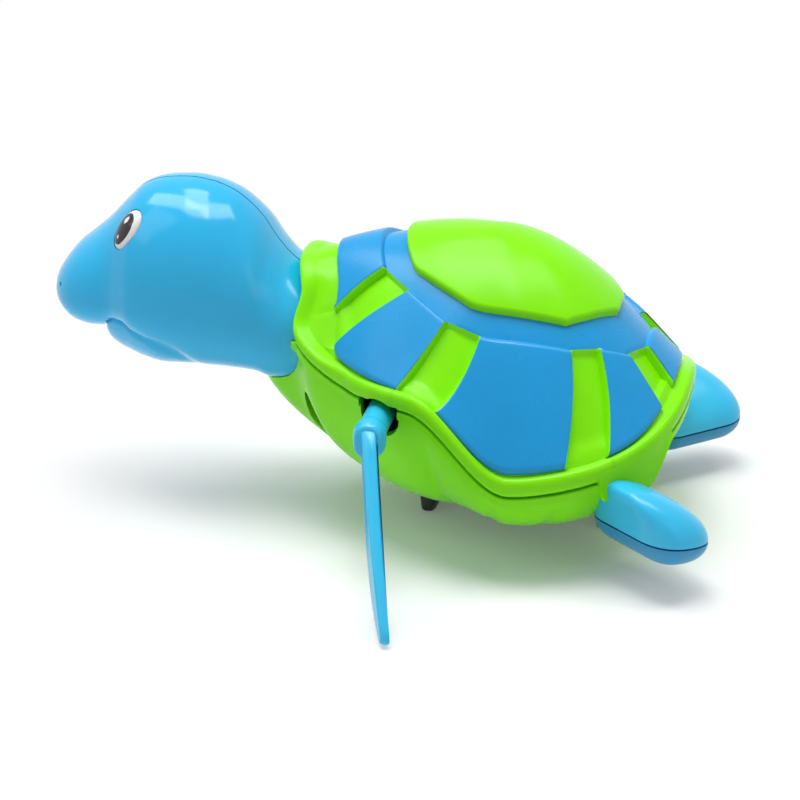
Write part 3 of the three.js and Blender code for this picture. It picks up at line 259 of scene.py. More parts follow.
def plastic(name, color, rough, shade=0.05, bump=0.02, grain=900.0, gloss=0.5):
    """Moulded plastic: slow colour drift, uneven polish and a fine moulded grain."""
    m = bpy.data.materials.new(name)
    m.use_nodes = True
    t = m.node_tree
    t.nodes.clear()
    out = t.nodes.new("ShaderNodeOutputMaterial")
    b = t.nodes.new("ShaderNodeBsdfPrincipled")
    t.links.new(b.outputs[0], out.inputs[0])
    b.inputs["IOR"].default_value = PLASTIC_IOR
    b.inputs["Specular IOR Level"].default_value = gloss
    at = t.nodes.new("ShaderNodeTexCoord")
    slow = t.nodes.new("ShaderNodeTexNoise")
    slow.inputs["Scale"].default_value = NOISE_SPREAD
    slow.inputs["Detail"].default_value = 3.0
    t.links.new(at.outputs["Object"], slow.inputs["Vector"])
    ramp = t.nodes.new("ShaderNodeValToRGB")
    ramp.color_ramp.elements[0].position = 0.3
    ramp.color_ramp.elements[1].position = 0.7
    ramp.color_ramp.elements[0].color = [c * (1 - shade) for c in color] + [1]
    ramp.color_ramp.elements[1].color = [min(1, c * (1 + shade)) for c in color] + [1]
    t.links.new(slow.outputs["Fac"], ramp.inputs["Fac"])
    t.links.new(ramp.outputs["Color"], b.inputs["Base Color"])
    fine = t.nodes.new("ShaderNodeTexNoise")
    fine.inputs["Scale"].default_value = grain
    fine.inputs["Detail"].default_value = 4.0
    t.links.new(at.outputs["Object"], fine.inputs["Vector"])
    polish = t.nodes.new("ShaderNodeMapRange")
    polish.inputs["To Min"].default_value = rough * 0.8
    polish.inputs["To Max"].default_value = rough * 1.25
    t.links.new(slow.outputs["Fac"], polish.inputs["Value"])
    t.links.new(polish.outputs["Result"], b.inputs["Roughness"])
    relief = t.nodes.new("ShaderNodeBump")
    relief.inputs["Strength"].default_value = bump
    relief.inputs["Distance"].default_value = GRAIN_DEPTH_M
    t.links.new(fine.outputs["Fac"], relief.inputs["Height"])
    t.links.new(relief.outputs["Normal"], b.inputs["Normal"])
    return m


def metal(name, color, rough):
    m = plastic(name, color, rough, shade=0.06, bump=0.05, grain=1500.0)
    m.node_tree.nodes["Principled BSDF"].inputs["Metallic"].default_value = 1.0
    return m


GREEN = plastic("lime_plastic", (0.22, 0.78, 0.002), 0.24, shade=0.04, gloss=0.16)
BLUE_PAINT = plastic("blue_paint", (0.010, 0.30, 0.65), 0.26, shade=0.05, bump=0.05, grain=1400.0, gloss=0.26)
HEAD_BLUE = plastic("blue_gloss", (0.012, 0.43, 0.77), 0.14, shade=0.03, bump=0.01, gloss=0.4)
FLIPPER_BLUE = plastic("blue_flipper", (0.03, 0.50, 0.82), 0.24, shade=0.04, gloss=0.4)
# A darker copy of the flipper blue for the rear flippers' lower halves, which is painted shade: both halves
# bear the same blue paint, and the lower one only lies in shade.
SHADED_SOLE_BLUE = plastic("blue_sole_painted_shade", (0.03, 0.28, 0.52), 0.32, shade=0.04, gloss=0.3)
WHITE = plastic("eye_white", (0.80, 0.80, 0.80), 0.15, shade=0.02, bump=0.01)
PUPIL = plastic("eye_dark", (0.012, 0.011, 0.011), 0.12, shade=0.1, bump=0.01)
KNOB_GREY = plastic("dark_grey", (0.035, 0.036, 0.04), 0.42, shade=0.08, bump=0.08)
IVORY = plastic("ivory", (0.78, 0.72, 0.56), 0.45, shade=0.04, bump=0.05)
CASE = plastic("off_white", (0.70, 0.70, 0.66), 0.5, shade=0.04, bump=0.05)
STEEL = metal("drawn_steel", (0.60, 0.61, 0.63), 0.3)
STRIP = metal("spring_strip", (0.36, 0.38, 0.40), 0.35)


# Shell outline. Angles run round the shell from the tail, and the front is where the cosine is negative.
# The rim comes down from the flipper's arch between two places and dips a little behind it.
ARCH_DOWN = (6, 22.5)
TAIL_SOFT = 4
SIDE_DIP, DIP_X, DIP_SPREAD = 0.75, 21.5, 8
# The collar, in shares of its half width: where its arch fades, its knee, and where its corners reach out.
COLLAR_FADE, COLLAR_KNEE, COLLAR_POWER = (1.0, 1.6), 0.82, 4
CORNER_OUT, CORNER_BACK = (0.58, 0.94), (0.96, 1.45)
# Share of the collar's rise that the dome follows, how wide it does so, and its share of the tail's rise.
NECK_SHARE, NECK_SPREAD, TAIL_SHARE = 0.9, 1.15, 0.8
# Powers of the dome's profile: at the sides, what the front adds and what the rear takes off.
DOME_POWERS = ((1.86, 0.14, 0.02), (0.97, 0.38, 0.12))


def outline_radius(phi):
    c, s = np.cos(phi), np.sin(phi)
    a = np.where(c < 0, SHELL_FRONT, SHELL_REAR)
    n = np.where(c < 0, FRONT_POWER, REAR_POWER)
    return (np.abs(c / a) ** n + np.abs(s / SHELL_HALF) ** n) ** (-1 / n)


def outline(phi):
    r = outline_radius(phi)
    return SHELL_X + r * np.cos(phi), r * np.sin(phi)


def half_width_at(x):
    a = SHELL_FRONT if x < SHELL_X else SHELL_REAR
    n = FRONT_POWER if x < SHELL_X else REAR_POWER
    return SHELL_HALF * float(clamp(1 - abs((x - SHELL_X) / a) ** n)) ** (1 / n)


def edge_z(x, y):
    """Height of the rim, without the collar."""
    z = RIM_SIDE_Z + RIM_ARCH_RISE * (1 - ease(*ARCH_DOWN, x))
    tail = RIM_TAIL_RISE * clamp(1 - np.hypot(y, TAIL_SOFT) / math.hypot(SHELL_HALF, TAIL_SOFT))
    return z + np.where(x > SHELL_X, tail, 0) - SIDE_DIP * np.exp(-((x - DIP_X) / DIP_SPREAD) ** 2)


def collar_arch(x, y):
    """Rise of the rim over the neck."""
    side = np.abs(y) / COLLAR_HALF
    arch = (1 - ease(*COLLAR_FADE, side)) / (1 + (side / COLLAR_KNEE) ** COLLAR_POWER)
    return np.where(x < 0, COLLAR_RISE * arch, 0)


def collar_reach(x, y):
    """How far the rim reaches forward round the neck."""
    side = np.abs(y) / COLLAR_HALF
    reach = (COLLAR_REACH + CORNER_REACH * ease(*CORNER_OUT, side)) * (1 - ease(*CORNER_BACK, side))
    return np.where(x < SHELL_X, reach, 0)


def dome_edge_z(phi):
    x, y = outline(phi)
    neck = NECK_SHARE * COLLAR_RISE * (1 - ease(0, NECK_SPREAD * COLLAR_HALF, np.abs(y)))
    return edge_z(x, y) + np.where(x < SHELL_X, neck, 0)


def plain_edge_z(phi):
    """Edge that the dome's middle springs from, without the rim's waves."""
    c = np.cos(phi)
    front = np.maximum(0, -c) ** 3
    rear = np.maximum(0, c) ** 3
    return RIM_SIDE_Z + (RIM_ARCH_RISE + NECK_SHARE * COLLAR_RISE) * front + TAIL_SHARE * RIM_TAIL_RISE * rear


def crest_z(phi):
    x, y = outline(phi)
    return edge_z(x, y) + collar_arch(x, y)


def dome_point(phi, t):
    """Point of the dome at a bearing and a share of the way from its top to its edge."""
    c = np.cos(phi)
    front = np.maximum(0, -c) ** 2
    rear = np.maximum(0, c) ** 2
    p, q = (side + more * front - less * rear for side, more, less in DOME_POWERS)
    r = outline_radius(phi) * t
    edge = mix(plain_edge_z(phi), dome_edge_z(phi), clamp(t) ** 2)
    z = edge + (APEX_Z - edge) * np.maximum(0, 1 - np.abs(t) ** p) ** (1 / q)
    return np.stack([mix(APEX_X, SHELL_X, t) + r * c, r * np.sin(phi), z], -1)


def dome_offset(phi, t, lift):
    """Point lifted off the dome, square to it."""
    d = 0.004
    along = dome_point(phi, t + d) - dome_point(phi, t - d)
    around = dome_point(phi + d, t) - dome_point(phi - d, t)
    normal = unit(np.cross(along, around))
    normal = normal * np.where(normal[..., 2:] < 0, -1, 1)
    return dome_point(phi, t) + normal * np.asarray(lift)[..., None]


# Upper shell. Each channel between panels: bearings of its two edges at the ring and at the rim, the
# scute's corner at its head as a bearing and a share of the radius, and where its edges meet the ring.
CHANNELS = [
    {"top": (11, 25), "low": (14, 25), "corner": (9, 0.635), "ring": (0.78, 0.74)},
    {"top": (38.5, 51.5), "low": (53.5, 66.5), "corner": (47, 0.555), "ring": (0.665, 0.635)},
    {"top": (98, 115), "low": (110, 122), "corner": (105, 0.495), "ring": (0.585, 0.6)},
    {"top": (139.5, 156.5), "low": (152, 158.5), "corner": (145, 0.51), "ring": (0.59, 0.615)},
]
SCUTE_SPREAD = 1.6
EDGE_BOW = 0.5
CHANNEL_DEPTH, CHANNEL_RUNOUT = 0.6, 0.8
PAINT_FROM = 0.85
CHANNEL_STEPS, PANEL_STEPS, WALL_STEPS = 8, 30, 5
SCUTE_ROWS, RING_ROWS, PANEL_ROWS, STRIP_ROWS, BEAD_ROWS = 22, 6, 24, 8, 20
# Profile of the scute's edge: distance across it and share of the height left.
SCUTE_EDGE = [(0.12, 0.99), (0.42, 0.86), (0.58, 0.78), (0.68, 0.66), (0.8, 0.36), (0.92, 0.08), (1.0, 0.0)]
# Share of the radius where the rim's band starts, and how far it moves in at the front and the tail.
RIM_START, RIM_FRONT_IN, RIM_TAIL_IN = 0.965, 0.125, 0.03
RIM_FRONT = (math.radians(147), math.radians(167))
RIM_TAIL = (math.radians(12), math.radians(50))
# Widths between which the band turns from a narrow one into a wide one, and the bead's bearings where it
# meets either band and at its underside.
BAND_WIDTH, BEAD_FOOT, BEAD_UNDER = (1.2, 3.4), (80.0, 122.0), -82.0
BAND_STRAIGHT, SLOPE_STEP = 0.7, 0.02
INNER_DROP, INNER_SHARES = 0.2, (0.76, 0.42, 0.04)


def rim_start(phi):
    front = ease(*RIM_FRONT, wrapped(phi))
    tail = 1 - ease(*RIM_TAIL, wrapped(phi))
    return RIM_START - RIM_FRONT_IN * front - RIM_TAIL_IN * tail


def corner(edge):
    c, k, sign = edge
    spread = (-1 if k == 0 else 1) * SCUTE_SPREAD
    return sign * math.radians(c["corner"][0] + spread), c["corner"][1]


def bearing(edge, level):
    c, k, sign = edge
    return sign * math.radians(c[level][k])


def wrap_mix(a, b, f):
    """Mix of two bearings, the way round that increases."""
    span = b - a
    if span < -1e-9:
        span += 2 * math.pi
    return a + span * f


def polar_line(a, b, f):
    """Point on an edge that is nearly straight between two polar points."""
    phi = wrap_mix(a[0], b[0], f)
    span = wrap_mix(a[0], b[0], 1) - a[0]
    arc = mix(a[1], b[1], f)
    if span < 1e-9:
        return phi, arc
    chord = math.sin(span) / (math.sin(span * (1 - f)) / a[1] + math.sin(span * f) / b[1])
    return phi, mix(chord, arc, EDGE_BOW)


def shell_columns():
    """Columns round the shell: scute, ring and rim points, wall height 0 to 1, and 1 on panels."""
    edges = []
    for c in CHANNELS:
        edges += [(c, 0, 1), (c, 1, 1)]
    for c in reversed(CHANNELS):
        edges += [(c, 1, -1), (c, 0, -1)]
    columns = []

    def add(a, b, f, inset, high, panel):
        scute = polar_line(corner(a), corner(b), f)
        ring_phi = wrap_mix(bearing(a, "top"), bearing(b, "top"), f)
        ends = [(bearing(e, "top"), e[0]["ring"][e[1]]) for e in (a, b)]
        ring = polar_line(*ends, f)
        low_phi = wrap_mix(bearing(a, "low"), bearing(b, "low"), f)
        low_t = float(rim_start(low_phi))
        ring_phi += inset * SHOULDER / (float(outline_radius(ring_phi)) * ring[1])
        low_phi += inset * SHOULDER / (float(outline_radius(low_phi)) * low_t)
        columns.append((*scute, ring_phi, ring[1], low_phi, low_t, high, panel))

    for e in range(0, len(edges), 2):
        start, stop, after = edges[e], edges[e + 1], edges[(e + 2) % len(edges)]
        for i in range(CHANNEL_STEPS):
            add(start, stop, i / CHANNEL_STEPS, 0, 0, 0)
        add(stop, stop, 0, 0, 0, 0)
        for k in range(1, WALL_STEPS + 1):
            s = k / WALL_STEPS
            add(stop, after, 0, s, quarter_round(s), 1)
        for i in range(1, PANEL_STEPS):
            add(stop, after, i / PANEL_STEPS, 0, 1, 1)
        for k in range(WALL_STEPS, 0, -1):
            s = k / WALL_STEPS
            add(stop, after, 1, -s, quarter_round(s), 1)
    return np.array(columns).T


def rim_frame(phi):
    """Place of the rim and the direction straight out of it."""
    x, y = outline(phi)
    d = 1e-3
    ax, ay = outline(phi - d)
    bx, by = outline(phi + d)
    n = unit(np.stack([by - ay, ax - bx], -1))
    return x - collar_reach(x, y), y, crest_z(phi), n[..., 0], n[..., 1]


def stand_off(place, out, up):
    x, y, z, nx, ny = place
    return np.stack([x + nx * out, y + ny * out, z + up], -1)


def rim_point(phi, out, up):
    return stand_off(rim_frame(phi), out, up)


def bead_point(phi, deg, wide):
    """Point on the rim's bead, whose outer face is nearly flat; it is lower beside a wide band."""
    a = np.radians(deg)
    c, s = np.cos(a), np.sin(a)
    out = BEAD_R * np.sign(c) * np.abs(c) ** BEAD_SQUARE - BEAD_IN
    up = BEAD_R * np.sign(s) * np.abs(s) ** BEAD_SQUARE
    return rim_point(phi, out, up * np.where(s > 0, 1 - BEAD_LOW * wide, 1))


def crown_rows(sp, st, rp, rt):
    """Rows of the scute, of its edge and of the ring round it, each with its zone."""
    inner_t = st - SHOULDER / outline_radius(sp)
    rows = []
    for s in np.linspace(0.02, 1, SCUTE_ROWS):
        rows.append((dome_offset(sp, inner_t * s, np.full_like(sp, SCUTE_RAISE)), "scute"))
    for a, left in SCUTE_EDGE:
        lift = np.full_like(sp, SCUTE_RAISE * left)
        rows.append((dome_offset(sp, mix(inner_t, st, a), lift), "scute_wall"))
    for k in range(1, RING_ROWS + 1):
        a = k / RING_ROWS
        rows.append((dome_offset(mix(sp, rp, a), mix(st, rt, a), np.zeros_like(sp)), "ring"))
    return rows


def panel_rows(rp, rt, lp, lt, high):
    """Rows of the panels and channels, from the ring down to the rim's band."""
    shoulder = SHOULDER / (outline_radius(lp) * (lt - rt))
    floor_lift = -CHANNEL_DEPTH * (1 - high)

    def lifted(s, lift):
        return dome_offset(mix(rp, lp, s), mix(rt, lt, s), lift)

    rows = []
    for k in range(1, WALL_STEPS + 1):
        s = k / WALL_STEPS
        lift = np.minimum(high, quarter_round(s)) * PANEL_RAISE + floor_lift * s
        rows.append((lifted(shoulder * s, lift), "ring_wall" if k < WALL_STEPS else "panel"))
    for s in np.linspace(0, 1, PANEL_ROWS)[1:-1]:
        lift = high * PANEL_RAISE + floor_lift * (1 - ease(CHANNEL_RUNOUT, 1, s))
        rows.append((lifted(mix(shoulder, 1 - shoulder, s), lift), "panel"))
    for k in range(WALL_STEPS, -1, -1):
        s = k / WALL_STEPS
        lift = np.minimum(high, quarter_round(s)) * PANEL_RAISE
        rows.append((lifted(1 - shoulder * s, lift), "panel" if k == WALL_STEPS else "low_wall"))
    return rows


def band_rows(lp, lt, start):
    """Rows of the band below the panels, of the rim's bead and of its underside."""
    room = outline_radius(lp) * (1 - lt) + collar_reach(*outline(lp))
    wide = ease(*BAND_WIDTH, room)
    foot = mix(*BEAD_FOOT, wide)
    chord = bead_point(lp, foot, wide) - start
    slope = unit(dome_point(lp, lt) - dome_point(lp, lt - SLOPE_STEP))
    slope = slope * np.linalg.norm(chord, axis=1, keepdims=True)
    slope = mix(slope, chord, BAND_STRAIGHT * wide[:, None])
    rows = []
    for s in np.linspace(0, 1, STRIP_ROWS)[1:-1]:
        h1, h2 = 3 * s * s - 2 * s ** 3, s ** 3 - 2 * s * s + s
        rows.append((start + chord * h1 + slope * h2 + chord * (s ** 3 - s * s), "strip"))
    for s in np.linspace(0, 1, BEAD_ROWS):
        rows.append((bead_point(lp, mix(foot, BEAD_UNDER, s), wide), "bead"))
    rows.append((rim_point(lp, -BEAD_IN - WALL, np.full_like(lp, -BEAD_R * 0.95)), "under"))
    return rows


def inner_rows(sp, lp, lt):
    """Rows of the shell's inner face."""
    edge = dome_offset(lp, lt - SLOPE_STEP, np.full_like(lp, -WALL))
    edge[:, 2] -= INNER_DROP
    rows = [(edge, "inside")]
    for s in INNER_SHARES:
        rows.append((dome_offset(mix(sp, lp, s), np.full_like(sp, s), np.full_like(sp, -WALL)), "inside"))
    return rows


def paint(zones, high, panel):
    """Material of each face of the upper shell: 1 on the ring and on raised panels, 0 elsewhere."""
    n = len(high)
    index = []
    for zone in zones[1:]:
        for c in range(n):
            d = (c + 1) % n
            on_panel = panel[c] and panel[d] and min(high[c], high[d]) > PAINT_FROM
            blue = zone == "ring" or (zone in ("ring_wall", "panel", "low_wall") and on_panel)
            index.append(1 if blue else 0)
    return index + [0] * (2 * n)


def upper_shell():
    sp, st, rp, rt, lp, lt, high, panel = shell_columns()
    rows = crown_rows(sp, st, rp, rt) + panel_rows(rp, rt, lp, lt, high)
    rows += band_rows(lp, lt, rows[-1][0]) + inner_rows(sp, lp, lt)
    rings, zones = zip(*rows)
    return loft("upper_shell_moulding", rings, [GREEN, BLUE_PAINT], paint(zones, high, panel))


# Lower shell
KEEL_FRONT, KEEL_REAR, KEEL_POWER = (15, 54.5), (9.6, 12.8), 2.2
CHEST_FADE = (0.35, 1.25)
# Flutes of the side wall: bearings in degrees where they start and end, one flute's place, their pitch,
# the shares of the way out that they fade over, and their depth.
FLUTE_FROM, FLUTE_TO, FLUTE_AT, FLUTE_PITCH = (36, 48), (118, 132), 91, 21.5
FLUTE_LOW, FLUTE_HIGH, FLUTE_DEPTH = (0.4, 0.8), (0.97, 1), 0.8
# Power of the belly's section at the sides, and what is added ahead, beside the chest and at the tail.
BELLY_SIDE, BELLY_FRONT, BELLY_CHEEK, BELLY_TAIL = 1.85, 8.0, 6.5, 0.9
LIP_OVER, FLOOR_SHARE = 0.9, 0.9
# Section of the lip: distance out and up from its top edge.
LIP_SECTION = [
    (-0.1, -LIP_H + 0.02), (0.25, -LIP_H + 0.15), (0.3, -0.15), (0.15, 0.0), (-LIP_OVER - WALL, 0.0),
]
BELLY_TOP_SHARES = (0.925, 0.95, 0.97, 0.985, 0.995, 1.0)
BELLY_INNER_SHARES = (0.98, 0.9, 0.8, 0.6, 0.4, 0.2, 0.03)
BELLY_START = 0.03


def keel_z(x):
    front_rise, front_run = KEEL_FRONT
    rear_rise, rear_run = KEEL_REAR
    low = KEEL_Z + front_rise * (np.abs(x - KEEL_X) / front_run) ** KEEL_POWER
    rear = KEEL_Z + rear_rise * (np.maximum(x - KEEL_X, 0) / rear_run) ** KEEL_POWER
    return np.where(x < KEEL_X, low, rear)


def lip_frame(phi):
    """Place of the lip's top edge, which reaches forward at the chest, and the direction out of it."""
    x, y, _, nx, ny = rim_frame(phi)
    chest = np.where(x < 0, 1 - ease(*CHEST_FADE, np.abs(y / CHEST_HALF)), 0)
    rise = np.minimum(collar_arch(x, y), CHEST_RISE)
    z = edge_z(x, y) + rise - BEAD_R - SLIT
    return x - CHEST_REACH * chest, y, z, nx, ny


def lobes(phi):
    """Depth of the side wall's flutes, from 0 to -1."""
    a = np.degrees(wrapped(phi))
    fade = ease(*FLUTE_FROM, a) * (1 - ease(*FLUTE_TO, a))
    return -fade * (1 - np.abs(np.sin(np.pi * (a - FLUTE_AT) / FLUTE_PITCH))) ** 2


def belly_point(phi, s, inner):
    """Point of the belly at a bearing and a share of the way out, a distance inside its outer face."""
    x0, y0, z0, nx, ny = lip_frame(phi)
    ex = x0 - nx * (LIP_OVER + inner)
    ey = y0 - ny * (LIP_OVER + inner)
    x = mix(BOWL_X, ex, s)
    top = z0 - LIP_H
    c = np.cos(phi)
    ahead = BELLY_FRONT * c ** 6 + BELLY_CHEEK * c ** 2 * (1 - c ** 2)
    full = BELLY_SIDE + np.where(c < 0, ahead, BELLY_TAIL * c ** 2)
    g = 1 - np.sqrt(np.maximum(0, 1 - s ** full))
    flute = 0 if inner else lobes(phi) * ease(*FLUTE_LOW, s) * (1 - ease(*FLUTE_HIGH, s))
    z = mix(keel_z(x), top, g) + inner * FLOOR_SHARE * (1 - g)
    return np.stack([x + flute * nx * FLUTE_DEPTH, ey * s + flute * ny * FLUTE_DEPTH, z], -1)


def lip_point(phi, out, up):
    return stand_off(lip_frame(phi), out, up)


def lower_shell():
    phi = turn(360)
    rows = [belly_point(phi, s, 0) for s in np.linspace(BELLY_START, 0.9, 34)]
    rows += [belly_point(phi, s, 0) for s in BELLY_TOP_SHARES]
    rows += [lip_point(phi, out, up) for out, up in LIP_SECTION]
    rows += [belly_point(phi, s, WALL) for s in BELLY_INNER_SHARES]
    return loft("lower_shell_moulding", rows, [GREEN])


def belly_core(name, inset):
    """Solid inside the belly's outer face."""
    phi = turn(240)
    rows = [belly_point(phi, s, inset) for s in np.linspace(BELLY_START, 1, 40)]
    return loft(name, rows + [lip_point(phi, -WALL, 0.0)], [])


def screw_well(name, x, y, top, materials, n=40):
    """Closed well round a screw's head, from the belly's wall up."""
    wide, narrow = disc(x, y, WELL_R + WELL_WALL, n), disc(x, y, WELL_R, n)
    rings = [np.column_stack([wide, np.full(n, top + WELL_WALL)]), np.column_stack([wide, np.zeros(n)])]
    rings += [np.column_stack([narrow, np.zeros(n)]), np.column_stack([narrow, np.full(n, top)])]
    well = loft(name, rings, materials, angle=40)
    cut(well, [belly_core(name + "_core", GAP)], operation="INTERSECT")
    crease(well, 40)
    return well


def heel_foot():
    x0, x1 = HEEL_X - HEEL_LENGTH / 2, HEEL_X + HEEL_LENGTH / 2
    heel = block("heel_foot", x0, x1, -HEEL_WIDTH / 2, HEEL_WIDTH / 2, 0, HEEL_TOP)
    heel.data.materials.append(GREEN)
    bevel = heel.modifiers.new("bevel", "BEVEL")
    bevel.width = HEEL_ROUND * MM
    bevel.segments = 3
    return heel


# Rear flippers
TIP_POWER, LEAST_WIDTH = 0.86, 0.02
# Shares of the hood's length over which it comes down and goes up again.
HOOD_DOWN, HOOD_UP = (0, 0.05), (0.55, 1)


def pad_plan(half, length, n):
    """Outline of a rear flipper, round at its root and blunter at its tip."""
    a = turn(n)
    c, s = np.cos(a), np.sin(a)
    tip_c = np.abs(c) ** TIP_POWER
    tip_s = np.sign(s) * np.abs(s) ** TIP_POWER
    return np.where(c >= 0, length + half * tip_c, half * c), half * np.where(c >= 0, tip_s, s)


def pad_place(along, across, z, side):
    x = PAD_X + along * math.cos(PAD_ANGLE) - across * math.sin(PAD_ANGLE)
    y = side * (PAD_Y + along * math.sin(PAD_ANGLE) + across * math.cos(PAD_ANGLE))
    return np.stack([x, y, z + PAD_ROLL * across], -1)


def pad_ring(level, half, inset, side, n=96):
    """Outline of a rear flipper at a share of its height; the crown leans to the outer side."""
    width = max((1 - level ** PAD_POWER) ** (1 / PAD_POWER), LEAST_WIDTH)
    lean = level ** 2 if half > 0 else 0.0
    along, across = pad_plan(PAD_HALF * width - inset, PAD_LENGTH - PAD_BACK * PAD_HALF * lean, n)
    face = PAD_Z - (PAD_SEAM if half < 0 else 0) + half * level * (PAD_TOP if half > 0 else PAD_BOTTOM)
    return pad_place(along, across + PAD_SKEW * PAD_HALF * lean, np.full(n, face), side)


def pad(name, side, half, materials):
    """Upper half (1) or lower half (-1) of a rear flipper."""
    rings = [pad_ring(0.0, half, WALL, side)]
    rings += [pad_ring(level, half, 0.0, side) for level in np.sin(np.linspace(0, math.pi / 2, 24))]
    return loft(name, rings, materials, angle=50)


def pad_hood(name, side, materials):
    """Hood of the rim that hangs over the root of a rear flipper."""
    rings = []
    face = BEAD_R - BEAD_IN + 0.05
    flared = face + HOOD_FLARE
    for w in np.linspace(0, 1, 61):
        phi = np.array(side * mix(HOOD_FROM, HOOD_TO, w))
        middle = float(rim_frame(phi)[2])
        low = mix(middle - BEAD_R, HOOD_Z, ease(*HOOD_DOWN, w) * (1 - ease(*HOOD_UP, w)))
        tall = middle - low
        profile = [(-WALL, 0.6), (face - 0.5, 0.7), (face - 0.1, 0.3), (face, 0.0)]
        profile += [(face + HOOD_FLARE * f ** 2, -tall * f) for f in np.linspace(0, 0.94, 9)[1:]]
        profile += [(flared - 0.12, -tall * 0.98), (flared - 0.5, -tall), (-WALL, -tall)]
        rings.append(np.array([rim_point(phi, out, up) for out, up in profile]))
    return loft(name, rings, materials, angle=50)


# Head. Sections from the neck to the snout: place, top, underside of the upper head, half width, middle,
# underside and half width of the jaw.
HEAD = np.array([
    [NECK_END_X, 37.4, 25.0, 9.6, 31.2, 25.6, 9.0],
    [-16.5, 40.6, 21.6, 11.5, 31.2, 22.6, 10.3],
    [-19.6, 43.8, 21.3, 11.9, 32.4, 22.3, 10.7],
    [-22.5, 48.0, 22.2, 12.6, 34.2, 23.2, 11.4],
    [-27.0, 51.7, 22.7, 13.3, 35.4, 23.2, 12.2],
    [-30.5, 52.9, 22.9, 13.6, 35.9, 22.9, 12.6],
    [-33.7, 53.3, 23.6, 13.7, 36.0, 22.5, 12.6],
    [-37.6, 53.0, 24.8, 13.5, 35.8, 22.3, 12.2],
    [-41.2, 51.8, 27.2, 12.8, 35.3, 22.9, 10.8],
    [-43.4, 49.9, 29.0, 11.4, 34.9, 23.6, 9.6],
    [-45.2, 48.0, 29.2, 10.2, 34.6, 24.3, 8.6],
    [-46.9, 46.1, 28.3, 9.6, 34.4, 25.4, 7.2],
    [-47.5, 45.5, 28.1, 9.5, 34.4, 26.6, 5.6],
    [-47.9, 45.1, 28.0, 9.4, 34.4, 29.0, 3.0],
    [-49.8, 43.4, 27.9, 8.9, 34.2, 31.0, 2.0],
    [-52.6, 41.0, 28.4, 7.6, 34.1, 32.0, 1.0],
    [-54.8, 38.3, 29.9, 5.5, 33.9, 33.0, 0.6],
    [-56.0, 36.2, 31.6, 3.2, 33.8, 33.2, 0.4],
    [-56.5, 34.5, 33.1, 0.9, 33.8, 33.5, 0.2],
])
HEAD_STEPS = len(HEAD) - 1
MIDDLE = 4
HEAD_ROWS, HEAD_COLS = 181, 129
# Powers of the section's upper and lower halves, and the places that the mouth's crease fades in between.
BROW_POWER, CHIN_POWER = 2.0, 2.2
MOUTH_FADE = (-31, -36)
SNOUT_X = -50
INNER_LEAST = 0.35
# Places along the neck, in sections, where its plug has rings, and how fast the plug runs on behind it.
PLUG_STATIONS = (-0.2, 0, 0.25, 0.5, 0.75, 1, 1.5, 2, 2.6, 3.2, 4)
PLUG_BEHIND = 5
# Eye, in shares of its half sizes: the pupil's half sizes, and middle and half sizes of two white spots.
PUPIL_HALF = (0.74, 0.80)
SHINES = ((-0.02, 0.42, 0.16, 0.17), (0.1, -0.42, 0.09, 0.08))
EYE_UP = (0.35, 0, 1)
EYE_POINTS = 72


def head_slopes():
    """Slopes at the sections that keep each size from overshooting between them."""
    step = np.diff(HEAD, axis=0)
    a, b = step[:-1], step[1:]
    same = a * b > 0
    both = np.where(same, 2 * a * b / np.where(same, a + b, 1), 0)
    return np.vstack([step[:1], both, step[-1:]])


HEAD_SLOPES = head_slopes()


def head_station(s):
    """Sizes of the head at a place counted in sections."""
    i = np.minimum(HEAD_STEPS - 1, np.floor(s)).astype(int)
    f = (s - i)[..., None]
    f2, f3 = f * f, f * f * f
    v = (2 * f3 - 3 * f2 + 1) * HEAD[i] + (f3 - 2 * f2 + f) * HEAD_SLOPES[i]
    v = v + (3 * f2 - 2 * f3) * HEAD[i + 1] + (f3 - f2) * HEAD_SLOPES[i + 1]
    return np.moveaxis(v, -1, 0)


def oval_radius(across, up, half, height, power):
    return (np.abs(across / half) ** power + np.abs(up / height) ** power) ** (-1 / power)


def head_radius(s, theta):
    """Distance from the section's middle: the fuller of the upper head and the jaw, with a crease."""
    x, top, low, half, mid, jaw_low, jaw_half = head_station(s)
    across, up = np.sin(np.pi * theta), np.cos(np.pi * theta)
    power = np.where(up >= 0, BROW_POWER, CHIN_POWER)
    upper = oval_radius(across, up, half, np.where(up >= 0, top - mid, mid - low), power)
    jaw = oval_radius(across, up, jaw_half, np.maximum(mid - jaw_low, 0.1), CHIN_POWER)
    jaw = np.where(up >= 0, 0, jaw)
    apart = (upper - jaw) / LIP_SOFT
    round_up = 0.25 * LIP_SOFT * np.exp(-apart ** 2)
    crease_depth = LIP_STEP * np.exp(-((upper - jaw) / LIP_CREASE) ** 2)
    fade = ease(*MOUTH_FADE, x)
    return np.maximum(upper, jaw) + round_up * (1 - fade) - crease_depth * fade


def head_point(s, theta, side, inset=0.0):
    x, mid = head_station(s)[0], head_station(s)[MIDDLE]
    r = head_radius(s, theta)
    r = np.maximum(r - inset, INNER_LEAST * r)
    return np.stack([x + 0 * r, side * r * np.sin(np.pi * theta), mid + r * np.cos(np.pi * theta)], -1)


def head_normal(s, theta, side):
    d = 0.02
    s0, s1 = np.maximum(0, s - d), np.minimum(HEAD_STEPS, s + d)
    t0, t1 = np.maximum(0.004, theta - d), np.minimum(0.996, theta + d)
    normal = unit(np.cross(head_point(s1, theta, side) - head_point(s0, theta, side),
                           head_point(s, t1, side) - head_point(s, t0, side)))
    p = head_point(s, theta, side)
    mid = head_station(s)[MIDDLE]
    outward = np.stack([np.where(p[..., 0] < SNOUT_X, -1.0, 0.0), p[..., 1], p[..., 2] - mid], -1)
    return normal * np.where((normal * outward).sum(-1, keepdims=True) < 0, -1, 1)


